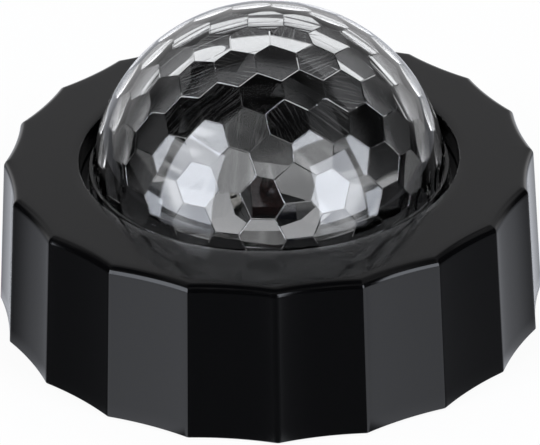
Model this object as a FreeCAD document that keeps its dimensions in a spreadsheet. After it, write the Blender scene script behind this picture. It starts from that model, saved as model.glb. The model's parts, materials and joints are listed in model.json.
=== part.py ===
import FreeCAD, Part
import math
import os
import Sketcher
from FreeCAD import Placement, Rotation, Vector

# Led party light: a fluted drum that holds a battery bay, a gearmotor and three LEDs, and a clear
# faceted dome that turns above them. Millimetres, +Z up, the origin on the drum's axis at the
# surface that the feet stand on. Every height is stacked from the feet up and every radius from
# the dome out, so a piece that changes size carries its neighbours with it.

SIZES = {
    # Feet and base cover
    "foot_radius": 4.5,
    "foot_recess": 0.8,
    "foot_gap": 0.1,
    "foot_circle_inset": 9.0,
    "drum_lift": 0.5,
    "base_recess": 0.5,
    "base_thickness": 2.0,
    "base_gap": 0.25,
    "sink_gap": 0.3,
    "cut_over": 1.0,
    "join_over": 0.2,
    # Battery bay, its cells, contacts and door
    "cell_radius": 7.1,
    "cell_length": 49.5,
    "cell_nub_radius": 2.7,
    "cell_nub_length": 1.0,
    "cell_edge": 0.6,
    "cell_side_gap": 0.3,
    "cell_top_gap": 0.2,
    "cell_end_gap": 0.1,
    "contact_room": 3.2,
    "contact_sheet": 0.4,
    "contact_width": 10.0,
    "contact_height": 9.0,
    "contact_bump_width": 4.0,
    "rib_width": 5.0,
    "bay_wall": 1.2,
    "bay_roof": 1.0,
    "door_thickness": 1.6,
    "door_gap": 0.3,
    "door_tab_width": 6.0,
    "door_tab_reach": 1.3,
    "door_tab_thickness": 0.8,
    "door_tab_offset": 13.0,
    "tab_slot_room": 0.3,
    "tab_slot_rise": 0.6,
    "tab_slot_drop": 0.1,
    "latch_width": 9.0,
    "latch_slit": 1.0,
    "latch_depth": 8.0,
    "thumb_radius": 5.0,
    "thumb_depth": 0.8,
    # Chassis plate, wall and the pieces that it carries
    "bay_to_chassis": 0.2,
    "chassis_thickness": 1.8,
    "chassis_wall": 2.2,
    "chassis_wall_height": 7.6,
    "tab_width": 9.0,
    "tab_reach": 7.0,
    "guide_gap": 0.4,
    "seat_gap": 0.03,
    # Ring gear, pinion and rollers
    "chassis_to_gear": 2.7,
    "gear_face": 4.0,
    "gear_step": 2.5,
    "gear_backlash": 0.14,
    "pinion_inset": 0.2,
    "pinion_hub_radius": 2.6,
    "pinion_hub_height": 1.2,
    "shaft_radius": 1.25,
    "shaft_gap": 0.05,
    "shaft_depth": 6.0,
    "roller_radius": 3.2,
    "roller_width": 3.0,
    "roller_inset": 0.2,
    "roller_gap": 0.05,
    "roller_to_gear": 0.8,
    "roller_edge": 0.3,
    "pin_radius": 1.0,
    "pin_gap": 0.05,
    "pin_seat_gap": 0.02,
    "pin_tip": 0.4,
    # Gearmotor
    "gearbox_radius": 12.0,
    "gearbox_height": 5.5,
    "motor_radius": 10.0,
    "motor_height": 7.5,
    "motor_cap_radius": 4.0,
    "motor_cap_height": 0.8,
    "motor_boss_radius": 3.5,
    "motor_boss_gap": 0.3,
    "motor_shift": 3.3,
    "ear_reach": 3.5,
    "ear_width": 6.0,
    "ear_thickness": 1.4,
    # Dome, its carrier and its clamping ring
    "facet_radius": 41.7,
    "dome_wall": 2.4,
    "skirt_step": 0.6,
    "skirt_drop": 1.9,
    "dome_sink": 6.7,
    "flange_width": 4.3,
    "flange_drop": 0.8,
    "flange_thickness": 2.0,
    "spigot_gap": 0.3,
    "spigot_wall": 1.5,
    "rim_gap": 0.2,
    "rim_wall": 2.6,
    "carrier_thickness": 2.0,
    "clamp_thickness": 1.4,
    "clamp_gap": 0.5,
    # Drum housing
    "collar_gap": 0.7,
    "collar_wall": 1.6,
    "dome_to_lip": 2.2,
    "lip_chamfer": 0.4,
    "top_thickness": 2.6,
    "drum_wall": 2.2,
    "flute_depth": 0.7,
    "drum_flare": 2.8,
    "top_edge": 2.0,
    "boss_radius": 2.9,
    "boss_gap": 0.5,
    "boss_room": 0.24,
    # Deck, reflector and light engine
    "deck_gap": 0.5,
    "deck_lift": 1.2,
    "deck_thickness": 1.4,
    "deck_width": 7.0,
    "deck_ledge": 0.8,
    "deck_post_radius": 2.2,
    "deck_post_inset": 2.8,
    "reflector_wall": 1.2,
    "reflector_lip": 1.5,
    "reflector_bore": 12.0,
    "reflector_lift": 0.2,
    "reflector_gap": 0.1,
    "spreader_radius": 14.0,
    "spreader_thickness": 0.9,
    "board_radius": 13.0,
    "board_thickness": 1.2,
    "board_screw_gap": 0.5,
    "led_circle": 4.8,
    "led_width": 5.0,
    "led_height": 0.9,
    "led_lens_radius": 1.9,
    # Control board, its parts and the power switch
    "control_length": 38.0,
    "control_width": 18.0,
    "control_thickness": 1.6,
    "control_gap": 2.6,
    "control_post_radius": 2.6,
    "control_post_inset": 3.0,
    "chip_length": 5.0,
    "chip_width": 4.0,
    "chip_height": 1.6,
    "capacitor_radius": 2.5,
    "capacitor_height": 6.0,
    "capacitor_place": 6.0,
    "header_length": 6.0,
    "header_width": 3.0,
    "header_height": 3.5,
    "header_place": 5.0,
    "switch_length": 8.6,
    "switch_width": 4.4,
    "switch_height": 3.6,
    "switch_place": 5.0,
    "knob_length": 2.0,
    "knob_width": 1.8,
    "knob_travel": 2.5,
    "knob_gap": 0.3,
    "knob_recess": 0.4,
    "knob_socket": 1.0,
    "finger_length": 12.0,
    "finger_width": 7.0,
    "finger_depth": 0.9,
    # Leads between the cells, the board, the motor and the LEDs
    "lead_radius": 0.5,
    "lead_hole_radius": 1.0,
    "lead_spread": 2.6,
    "battery_lead_place": 24.0,
    "battery_lead_lift": 4.0,
    "motor_lead_drop": 4.0,
    "motor_lead_lift": 2.4,
    "motor_lead_swing": 7.0,
    "lead_stand_off": 3.0,
    # Screws
    "screw_radius": 1.3,
    "screw_head_radius": 2.4,
    "screw_head_height": 1.2,
    "screw_length": 7.0,
    "screw_gap": 0.1,
    "small_screw_radius": 0.8,
    "small_screw_head_radius": 1.4,
    "small_screw_head_height": 0.8,
    "small_screw_length": 3.2,
}

# Counts, and angles in degrees. A bearing is measured from +X towards +Y.
DRUM_SIDES = 20
RING_TEETH = 100
PINION_TEETH = 12
PRESSURE_ANGLE = 20.0
FLANK_STEPS = 2
EDGE_STEPS = 4
CELL_COUNT = 3
BASE_SCREW_BEARINGS = (45.0, 135.0, 225.0, 315.0)
CHASSIS_SCREW_BEARINGS = (0.0, 90.0, 180.0, 270.0)
FOOT_BEARINGS = (0.0, 90.0, 180.0, 270.0)
ROLLER_BEARINGS = {"roller_a": 30.0, "roller_b": 150.0, "roller_c": 270.0}
DECK_POST_BEARINGS = (30.0, 150.0, 270.0)
CLAMP_SCREW_BEARINGS = (0.0, 60.0, 120.0, 180.0, 240.0, 300.0)
LED_BEARINGS = {"led_red": 90.0, "led_green": 210.0, "led_blue": 330.0}
MOTOR_BEARING = 90.0
FULL_TURN = 360.0
SAME_PLACE = 1e-4

# The dome's facets: an icosahedron whose faces are split 4 and 2 steps along the hexagon rows,
# turned so that one of its five-sided facets looks forward and a little to the left.
ICOSAHEDRON_RISE = math.atan(0.5)
ICOSAHEDRON_SPREAD = math.atan(2.0)
FACET_STEPS = (4, 2)
FACET_RISE = 26.9
FACET_BEARING = -81.2
FACET_SPIN = 23.4
NEIGHBOUR_SHARE = 1.75
SAME_FACET = 1e-3
ROUNDING = 1e-6

# How far up its depth the dish has climbed at equal steps from its bore to its rim.
DISH_SHARES = (0.0, 0.12, 0.28, 0.48, 0.72, 1.0)

ADDENDUM_SHARE = 0.65
DEDENDUM_SHARE = 1.0

doc = FreeCAD.newDocument("party_light")
sheet = doc.addObject("Spreadsheet::Sheet", "Sizes")
for row, (alias, value) in enumerate(SIZES.items(), start=1):
    sheet.set("A%d" % row, alias)
    sheet.set("B%d" % row, str(value))
    sheet.setAlias("B%d" % row, alias)
doc.recompute()


class Measure:
    """A size with its number and the expression on the sheet that gives it."""

    def __init__(self, number, text):
        self.number = float(number)
        self.text = text

    def __add__(self, other):
        other = as_measure(other)
        return Measure(self.number + other.number, "(%s + %s)" % (self.text, other.text))

    def __sub__(self, other):
        other = as_measure(other)
        return Measure(self.number - other.number, "(%s - %s)" % (self.text, other.text))

    def __mul__(self, factor):
        return Measure(self.number * factor, "(%s * %r)" % (self.text, float(factor)))

    def __truediv__(self, factor):
        return Measure(self.number / factor, "(%s / %r)" % (self.text, float(factor)))

    def __neg__(self):
        return self * -1


def as_measure(value):
    if isinstance(value, Measure):
        return value
    return Measure(value, "(%r)" % float(value))


class Sheet:
    """Gives each cell of the sheet by its alias, as a Measure."""

    def __getattr__(self, alias):
        return Measure(getattr(sheet, alias), "Sizes.%s" % alias)


s = Sheet()
ZERO = as_measure(0.0)


def polar(radius, bearing):
    """The X and Y of a point at a radius and a bearing in degrees."""
    turn = math.radians(bearing)
    return radius * math.cos(turn), radius * math.sin(turn)


def bind(item, prop, measure):
    item.setExpression(prop, as_measure(measure).text)


def place(item, x=ZERO, y=ZERO, z=ZERO, turn=None):
    """Binds an object's place to the sheet, after any fixed turn."""
    if turn is not None:
        item.Placement = Placement(Vector(), turn)
    for letter, measure in (("x", x), ("y", y), ("z", z)):
        bind(item, "Placement.Base." + letter, measure)
    return item


def cylinder(name, radius, height, x=ZERO, y=ZERO, z=ZERO, turn=None):
    item = doc.addObject("Part::Cylinder", name)
    bind(item, "Radius", radius)
    bind(item, "Height", height)
    return place(item, x, y, z, turn)


def block(name, length, width, height, x=ZERO, y=ZERO, z=ZERO):
    """A box centred on x and y that stands on z."""
    item = doc.addObject("Part::Box", name)
    bind(item, "Length", length)
    bind(item, "Width", width)
    bind(item, "Height", height)
    return place(item, x - length / 2, y - width / 2, z)


def turned_block(name, length, width, height, reach, bearing, z):
    """A box whose long side points out along a bearing and starts at a reach from the axis."""
    item = doc.addObject("Part::Box", name)
    bind(item, "Length", length)
    bind(item, "Width", width)
    bind(item, "Height", height)
    x, y = polar(reach, bearing)
    aside_x, aside_y = polar(width / 2, bearing - 90.0)
    return place(item, x + aside_x, y + aside_y, z, Rotation(Vector(0, 0, 1), bearing))


def fuse(name, parts):
    item = doc.addObject("Part::MultiFuse", name)
    item.Shapes = parts
    return item


def cut(name, base, tools):
    item = doc.addObject("Part::Cut", name)
    item.Base = base
    item.Tool = tools[0] if len(tools) == 1 else fuse(name + "_tools", tools)
    return item


def group(name, parts):
    item = doc.addObject("Part::Compound", name)
    item.Links = parts
    return item


def origin_part(body, role):
    return next(item for item in body.Origin.OriginFeatures if item.Role == role)


def new_sketch(body, name, plane, height=None):
    sketch = body.newObject("Sketcher::SketchObject", name)
    sketch.AttachmentSupport = (origin_part(body, plane), [""])
    sketch.MapMode = "FlatFace"
    if height is not None:
        bind(sketch, "AttachmentOffset.Base.z", height)
    return sketch


def hold(sketch, kind, first, measure):
    """Adds one driven dimension to a sketch."""
    index = sketch.addConstraint(Sketcher.Constraint(kind, *first, measure.number))
    sketch.setExpression("Constraints[%d]" % index, measure.text)


def draw(sketch, points):
    """Draws a closed outline. A point is (x, y), or (x, y, radius) where the side that leaves it
    is an arc; a negative radius bows the arc to the left of the way that it runs."""
    count = len(points)
    ends = []
    for index, point in enumerate(points):
        after = points[(index + 1) % count]
        start = Vector(as_measure(point[0]).number, as_measure(point[1]).number, 0)
        end = Vector(as_measure(after[0]).number, as_measure(after[1]).number, 0)
        if len(point) == 2:
            side = sketch.addGeometry(Part.LineSegment(start, end), False)
            ends.append((side, 1, 2))
            continue
        radius = point[2].number
        middle = (start + end) / 2
        along = end - start
        left = Vector(-along.y, along.x, 0).normalize()
        offset = math.sqrt(max(radius * radius - along.Length ** 2 / 4, 0.0))
        centre = middle + left * math.copysign(offset, radius)
        bearings = [math.atan2(p.y - centre.y, p.x - centre.x) for p in (start, end)]
        if radius < 0:
            bearings.reverse()
        ring = Part.Circle(centre, Vector(0, 0, 1), abs(radius))
        side = sketch.addGeometry(Part.ArcOfCircle(ring, bearings[0], bearings[1]), False)
        ends.append((side, 1, 2) if radius > 0 else (side, 2, 1))
    for index in range(count):
        side, start_point, end_point = ends[index]
        after = ends[(index + 1) % count]
        sketch.addConstraint(Sketcher.Constraint("Coincident", side, end_point, after[0], after[1]))
    for index, point in enumerate(points):
        side, start_point, end_point = ends[index]
        for kind, axis, value in (("DistanceX", -2, point[0]), ("DistanceY", -1, point[1])):
            if as_measure(value).number == 0:
                sketch.addConstraint(Sketcher.Constraint("PointOnObject", side, start_point, axis))
            else:
                hold(sketch, kind, (-1, 1, side, start_point), as_measure(value))
        if len(point) == 3:
            radius = point[2] if point[2].number > 0 else -point[2]
            hold(sketch, "Radius", (side,), radius)


def ring_sketch(body, name, height, radii, x=ZERO, y=ZERO):
    """Circles about one centre on a level plane."""
    sketch = new_sketch(body, name, "XY_Plane", height)
    for radius in radii:
        centre = Vector(as_measure(x).number, as_measure(y).number, 0)
        side = sketch.addGeometry(Part.Circle(centre, Vector(0, 0, 1), radius.number), False)
        for kind, axis, value in (("DistanceX", -2, x), ("DistanceY", -1, y)):
            if as_measure(value).number == 0:
                sketch.addConstraint(Sketcher.Constraint("PointOnObject", side, 3, axis))
            else:
                hold(sketch, kind, (-1, 1, side, 3), as_measure(value))
        hold(sketch, "Radius", (side,), radius)
    return sketch


def turned(name, outline):
    """A body turned about Z from an outline of radius and height."""
    body = doc.addObject("PartDesign::Body", name)
    sketch = new_sketch(body, name + "_outline", "XZ_Plane")
    draw(sketch, outline)
    spin = body.newObject("PartDesign::Revolution", name + "_turn")
    spin.Profile = sketch
    spin.ReferenceAxis = (sketch, ["V_Axis"])
    spin.Angle = FULL_TURN
    body.Tip = spin
    return body


def pad(body, name, sketch, length):
    item = body.newObject("PartDesign::Pad", name)
    item.Profile = sketch
    bind(item, "Length", length)
    body.Tip = item
    return item


def pocket(body, name, sketch, length):
    """Cuts down from a level sketch."""
    item = body.newObject("PartDesign::Pocket", name)
    item.Profile = sketch
    bind(item, "Length", length)
    body.Tip = item
    return item


def repeat(body, name, features, count):
    item = body.newObject("PartDesign::PolarPattern", name)
    item.Originals = features
    item.Axis = (origin_part(body, "Z_Axis"), [""])
    item.Angle = FULL_TURN
    item.Occurrences = count
    body.Tip = item
    return item


def screws(name, bearings, circle, seat, size, points_up, centres=None):
    """Pan-head screws about Z, or at given centres. The seat is the face under the head."""
    made = []
    places = centres if centres is not None else [polar(circle, bearing) for bearing in bearings]
    radius, head_radius, head_height, length = size
    for index, (x, y) in enumerate(places):
        shank_z = seat if points_up else seat - length
        head_z = seat - head_height if points_up else seat
        shank = cylinder("%s_shank_%d" % (name, index), radius, length, x, y, shank_z)
        head = cylinder("%s_head_%d" % (name, index), head_radius, head_height, x, y, head_z)
        made.append(fuse("%s_screw_%d" % (name, index), [shank, head]))
    return group(name, made)


# Heights, stacked from the feet up.
base_bottom = s.drum_lift + s.base_recess
base_top = base_bottom + s.base_thickness
door_top = base_bottom + s.door_thickness
cell_axis = door_top + s.cell_top_gap + s.cell_radius
bay_top = cell_axis + s.cell_radius + s.cell_top_gap + s.bay_roof
chassis_bottom = bay_top + s.bay_to_chassis
chassis_top = chassis_bottom + s.chassis_thickness
gear_bottom = chassis_top + s.chassis_to_gear
carrier_bottom = gear_bottom + s.gear_face
carrier_top = carrier_bottom + s.carrier_thickness
flange_top = carrier_top + s.flange_thickness
clamp_top = flange_top + s.clamp_thickness
collar_bottom = clamp_top + s.collar_gap
dome_centre = flange_top + s.flange_drop
drum_top = dome_centre + s.dome_sink
drum_under = drum_top - s.top_thickness
skirt_top = drum_top - s.skirt_drop
roller_axis = carrier_bottom - s.roller_gap - s.roller_radius
deck_bottom = carrier_bottom + s.deck_lift
deck_top = deck_bottom + s.deck_thickness
spreader_top = chassis_top + s.spreader_thickness
board_top = spreader_top + s.board_thickness
led_top = board_top + s.led_height

# Radii, stacked from the dome out.
bore_radius = s.facet_radius - s.dome_wall
skirt_radius = s.facet_radius + s.skirt_step
flange_radius = skirt_radius + s.flange_width
spigot_radius = bore_radius - s.spigot_gap
spigot_bore = spigot_radius - s.spigot_wall
rim_bore = flange_radius + s.rim_gap
rim_radius = rim_bore + s.rim_wall
clamp_bore = skirt_radius + s.clamp_gap
clamp_circle = (rim_bore + rim_radius) / 2
opening_radius = skirt_radius + s.dome_to_lip
collar_radius = opening_radius + s.collar_wall
roller_out = rim_radius - s.roller_inset
roller_in = roller_out - s.roller_width
gear_rim = roller_in - s.roller_to_gear
gear_pitch = spigot_bore + s.gear_step
wall_bore = rim_radius + s.guide_gap
wall_radius = wall_bore + s.chassis_wall
boss_circle = wall_radius + s.boss_gap + s.boss_radius
deck_radius = spigot_bore - s.deck_gap
reflector_rim = deck_radius - s.deck_width

# The drum is a polygon: its corner radius at the top, and how it grows towards the floor.
CORNER_SHARE = 1.0 / math.cos(math.pi / DRUM_SIDES)
room_apothem = boss_circle + s.boss_radius + s.boss_room
drum_top_corner = (room_apothem + s.drum_wall + s.flute_depth) * CORNER_SHARE
drum_base_corner = drum_top_corner + s.drum_flare

# The gear pair.
gear_module = gear_pitch * (2.0 / RING_TEETH)
pinion_pitch = gear_module * (PINION_TEETH / 2.0)
motor_circle = gear_pitch - pinion_pitch
motor_x, motor_y = polar(motor_circle, MOTOR_BEARING)
body_x, body_y = polar(motor_circle + s.motor_shift, MOTOR_BEARING)

# The battery bay, and the control board beside it on the side away from the motor.
cell_pitch = s.cell_radius * 2 + s.cell_side_gap
bay_length = s.cell_length + s.cell_nub_length + s.contact_room * 2
bay_width = cell_pitch * CELL_COUNT + s.cell_side_gap
control_y = -(bay_width / 2 + s.bay_wall + s.control_gap + s.control_width / 2)
control_bottom = base_top + s.switch_height
control_top = control_bottom + s.control_thickness
post_x = s.control_length / 2 - s.control_post_inset
post_places = [(-post_x, control_y), (post_x, control_y)]
foot_circle = boss_circle + s.boss_radius - s.foot_circle_inset
foot_top = base_bottom + s.foot_recess
door_tab_bottom = door_top - s.door_tab_thickness

# The board's two plugs: the left one feeds the LEDs, and the right one takes cells and motor.
plug_x = s.header_place * 2
plug_y = control_y + s.header_place
plug_top = control_top + s.header_height
led_lead_z = spreader_top + s.board_thickness / 2

SCREW = (s.screw_radius, s.screw_head_radius, s.screw_head_height, s.screw_length)
SMALL_SCREW = (s.small_screw_radius, s.small_screw_head_radius, s.small_screw_head_height,
               s.small_screw_length)
screw_hole = s.screw_radius + s.screw_gap
small_screw_hole = s.small_screw_radius + s.screw_gap


def fluted_outline(corner_radius):
    """The drum's outline: arcs that dip inward between the corners of the polygon."""
    chord_share = 2.0 * math.sin(math.pi / DRUM_SIDES)
    chord = corner_radius.number * chord_share
    dip = s.flute_depth.number
    radius_number = (chord * chord / 4 + dip * dip) / (2 * dip)
    bow = "(((%s * %r)^2 / 4 + %s^2) / (2 * %s))" % (
        corner_radius.text, chord_share, s.flute_depth.text, s.flute_depth.text)
    bow_radius = -Measure(radius_number, bow)
    step = FULL_TURN / DRUM_SIDES
    return [polar(corner_radius, step * side) + (bow_radius,) for side in range(DRUM_SIDES)]


def room_outline(apothem):
    """The straight-sided polygon inside the drum's wall."""
    step = FULL_TURN / DRUM_SIDES
    return [polar(apothem * CORNER_SHARE, step * side) for side in range(DRUM_SIDES)]


def level_outline(body, name, height, outline):
    """A closed outline drawn on a level plane of a body."""
    sketch = new_sketch(body, name, "XY_Plane", height)
    draw(sketch, outline)
    return sketch


def ruled_loft(body, kind, name, sketches):
    """A solid, or a cut, with straight sides from each level outline to the next."""
    item = body.newObject("PartDesign::" + kind, name)
    item.Profile = sketches[0]
    item.Sections = sketches[1:]
    item.Ruled = True
    body.Tip = item
    return item


def make_drum_housing():
    """The fluted drum: open below, with a collar round the opening and bosses for eight screws."""
    body = doc.addObject("PartDesign::Body", "drum_housing")
    levels = [(s.drum_lift, drum_base_corner), (drum_top - s.top_edge, drum_top_corner)]
    for step in range(1, EDGE_STEPS + 1):
        turn = math.pi / 2 * step / EDGE_STEPS
        levels.append((drum_top - s.top_edge * (1 - math.sin(turn)),
                       drum_top_corner - s.top_edge * (1 - math.cos(turn)) * CORNER_SHARE))
    ruled_loft(body, "AdditiveLoft", "drum_flutes",
               [level_outline(body, "drum_outline_%d" % n, height, fluted_outline(corner))
                for n, (height, corner) in enumerate(levels)])
    grow = s.drum_flare * (1 / CORNER_SHARE)
    ruled_loft(body, "SubtractiveLoft", "drum_room",
               [level_outline(body, "room_foot_outline", s.drum_lift - s.cut_over,
                              room_outline(room_apothem + grow)),
                level_outline(body, "room_top_outline", drum_under, room_outline(room_apothem))])
    opening = ring_sketch(body, "opening_outline", drum_top + s.cut_over, [opening_radius])
    mouth = pocket(body, "opening", opening, s.top_thickness + s.cut_over * 2)
    doc.recompute()
    lip = body.newObject("PartDesign::Chamfer", "opening_lip")
    lip.Base = (mouth, circles_at(mouth.Shape, drum_top.number, opening_radius.number))
    bind(lip, "Size", s.lip_chamfer)
    body.Tip = lip
    collar = ring_sketch(body, "collar_outline", collar_bottom, [opening_radius, collar_radius])
    pad(body, "collar", collar, drum_under - collar_bottom + s.top_thickness / 2)
    for name, first, foot in (("base_boss", BASE_SCREW_BEARINGS, base_top),
                              ("chassis_boss", CHASSIS_SCREW_BEARINGS, chassis_top)):
        x, y = polar(boss_circle, first[0])
        boss = ring_sketch(body, name + "_outline", foot, [s.boss_radius, screw_hole], x, y)
        post = pad(body, name, boss, drum_under - foot + s.top_thickness / 2)
        repeat(body, name + "_ring", [post], len(first))
    return body


def circles_at(shape, height, radius):
    """The names of the circular edges of one radius at one height."""
    names = []
    for index, edge in enumerate(shape.Edges, start=1):
        if not isinstance(edge.Curve, Part.Circle):
            continue
        off = abs(edge.Curve.Center.z - height) + abs(edge.Curve.Radius - radius)
        if off < SAME_PLACE:
            names.append("Edge%d" % index)
    return names


def base_corner():
    """The base cover's corner radius: the drum's room at the cover's upper face, less the gap."""
    taper = s.drum_flare * math.cos(math.pi / DRUM_SIDES)
    rise = (base_top.number - s.drum_lift.number) / (drum_under.number - s.drum_lift.number)
    share = Measure(rise, "((%s - %s) / (%s - %s))" % (
        base_top.text, s.drum_lift.text, drum_under.text, s.drum_lift.text))
    grown = Measure(taper.number * (1 - share.number), "(%s * (1 - %s))" % (taper.text, share.text))
    return (room_apothem + grown - s.base_gap) * CORNER_SHARE


def make_base_cover():
    plate = doc.addObject("Part::Prism", "base_plate")
    plate.Polygon = DRUM_SIDES
    bind(plate, "Circumradius", base_corner())
    bind(plate, "Height", s.base_thickness)
    place(plate, ZERO, ZERO, base_bottom)
    outer = block("bay_shell", bay_length + s.bay_wall * 2, bay_width + s.bay_wall * 2,
                  bay_top - base_bottom, z=base_bottom)
    posts = [cylinder("control_post_%d" % n, s.control_post_radius,
                      control_bottom - base_top + s.join_over, x, y, base_top - s.join_over)
             for n, (x, y) in enumerate(post_places)]
    solid = fuse("base_solid", [plate, outer] + posts)
    tools = [block("bay_room", bay_length, bay_width, bay_top - s.bay_roof - base_bottom + s.cut_over,
                   z=base_bottom - s.cut_over)]
    for n, bearing in enumerate(BASE_SCREW_BEARINGS):
        x, y = polar(boss_circle, bearing)
        tools.append(cylinder("base_hole_%d" % n, screw_hole, s.base_thickness + s.cut_over * 2,
                              x, y, base_bottom - s.cut_over))
        tools.append(cylinder("base_sink_%d" % n, s.screw_head_radius + s.sink_gap,
                              s.screw_head_height + s.cut_over, x, y, base_bottom - s.cut_over))
    for n, bearing in enumerate(FOOT_BEARINGS):
        x, y = polar(foot_circle, bearing)
        tools.append(cylinder("foot_seat_%d" % n, s.foot_radius + s.foot_gap,
                              s.foot_recess + s.cut_over, x, y, base_bottom - s.cut_over))
    for n, (x, y) in enumerate(post_places):
        tools.append(cylinder("control_hole_%d" % n, small_screw_hole, control_bottom - base_top
                              + s.cut_over, x, y, base_top))
    slot_length = s.knob_length + s.knob_travel + s.knob_gap * 2
    slot_width = s.knob_width + s.knob_gap * 2
    tools.append(block("knob_slot", slot_length, slot_width, s.base_thickness + s.cut_over * 2,
                       s.switch_place, control_y, base_bottom - s.cut_over))
    tools.append(block("finger_hollow", s.finger_length, s.finger_width, s.finger_depth + s.cut_over,
                       s.switch_place, control_y, base_bottom - s.cut_over))
    for side in (-1, 1):
        slot_height = s.door_tab_thickness + s.tab_slot_rise + s.tab_slot_drop
        tools.append(block("tab_slot_%s" % side_name(side),
                           (s.door_tab_reach + s.tab_slot_room) * 2,
                           s.door_tab_width + s.tab_slot_room * 2, slot_height,
                           -bay_length / 2, s.door_tab_offset * side,
                           door_tab_bottom - s.tab_slot_drop))
    hollow = cut("base_hollow", solid, tools)
    ribs = []
    for index, y, end in contact_places():
        if end * plus_end(index) > 0:
            depth = s.contact_room - s.contact_sheet
            x = (bay_length / 2 - depth / 2 + s.join_over / 2) * end
            ribs.append(block("contact_rib_%d" % index, depth + s.join_over, s.rib_width,
                              bay_top - s.bay_roof - door_top - s.door_gap + s.join_over, x, y,
                              door_top + s.door_gap))
    return fuse("base_cover", [hollow] + ribs)


def side_name(side):
    return "left" if side < 0 else "right"


def contact_places():
    """For each cell and each end of the bay: the cell's number, its Y, and -1 or +1 for the end."""
    for index in range(CELL_COUNT):
        y = cell_pitch * (index - (CELL_COUNT - 1) / 2.0)
        for end in (-1, 1):
            yield index, y, end


def plus_end(index):
    """The end that a cell's plus nub points to: neighbours point opposite ways."""
    return 1 if index % 2 == 0 else -1


def make_cells():
    made = []
    for index in range(CELL_COUNT):
        y = cell_pitch * (index - (CELL_COUNT - 1) / 2.0)
        end = plus_end(index)
        lie = Rotation(Vector(0, 1, 0), 90.0 * end)
        back = (s.cell_length + s.cell_nub_length) / 2 - s.cell_end_gap
        nub_start = (s.cell_length - s.cell_nub_length) / 2 - s.cell_end_gap
        tube = cylinder("cell_tube_%d" % index, s.cell_radius, s.cell_length, -back * end, y,
                        cell_axis, lie)
        nub = cylinder("cell_nub_%d" % index, s.cell_nub_radius, s.cell_nub_length,
                       nub_start * end, y, cell_axis, lie)
        made.append(fuse("cell_%d" % index, [tube, nub]))
    return group("aa_cells", made)


def make_plus_contacts():
    """Flat tinned plates on the ribs, one for each plus nub."""
    made = []
    for index, y, end in contact_places():
        if end * plus_end(index) > 0:
            x = (bay_length / 2 - s.contact_room + s.contact_sheet / 2) * end
            made.append(block("plus_plate_%d" % index, s.contact_sheet, s.contact_width,
                              s.contact_height, x, y, cell_axis - s.contact_height / 2))
    return group("plus_contacts", made)


def make_minus_contacts():
    """Plates on the end wall with a bent leaf that presses on the flat end of each cell."""
    made = []
    for index, y, end in contact_places():
        if end * plus_end(index) < 0:
            made.append(leaf_contact("minus_leaf_%d" % index, y, end))
    return group("minus_contacts", made)


def leaf_contact(name, y, end):
    body = doc.addObject("PartDesign::Body", name)
    sketch = new_sketch(body, name + "_outline", "XZ_Plane", -(y + s.contact_bump_width / 2))
    wall = bay_length / 2 * end
    inner = wall - s.contact_sheet * end
    tip = wall - (s.contact_room - s.cell_end_gap * 2) * end
    high = cell_axis + s.contact_height / 2
    low = cell_axis - s.contact_height / 2
    draw(sketch, [(wall, low), (wall, high), (inner, high), (tip, cell_axis + s.contact_sheet),
                  (tip, cell_axis - s.contact_sheet), (inner, low + s.contact_sheet),
                  (inner, low + s.contact_sheet / 2), (inner, low)])
    pad(body, name + "_strip", sketch, s.contact_bump_width)
    return body


def make_battery_door():
    length = bay_length - s.door_gap * 2
    width = bay_width - s.door_gap * 2
    plate = block("door_plate", length, width, s.door_thickness, z=base_bottom)
    parts = [plate]
    for side in (-1, 1):
        parts.append(block("door_tab_%s" % side_name(side), s.door_tab_reach * 2,
                           s.door_tab_width, s.door_tab_thickness, -length / 2,
                           s.door_tab_offset * side, door_tab_bottom))
    solid = fuse("door_solid", parts)
    end = length / 2 + s.cut_over - s.latch_depth / 2
    tools = []
    for side in (-1, 1):
        tools.append(block("latch_slit_%s" % side_name(side),
                           s.latch_depth + s.cut_over * 2, s.latch_slit,
                           s.door_thickness + s.cut_over * 2, end, s.latch_width / 2 * side,
                           base_bottom - s.cut_over))
    tools.append(cylinder("thumb_hollow", s.thumb_radius, s.thumb_depth + s.cut_over,
                          length / 2 - s.latch_depth - s.thumb_radius, ZERO,
                          base_bottom - s.cut_over))
    return cut("battery_door", solid, tools)


def make_feet():
    made = []
    for n, bearing in enumerate(FOOT_BEARINGS):
        x, y = polar(foot_circle, bearing)
        made.append(cylinder("foot_%d" % n, s.foot_radius, foot_top, x, y, ZERO))
    return group("rubber_feet", made)


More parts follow.
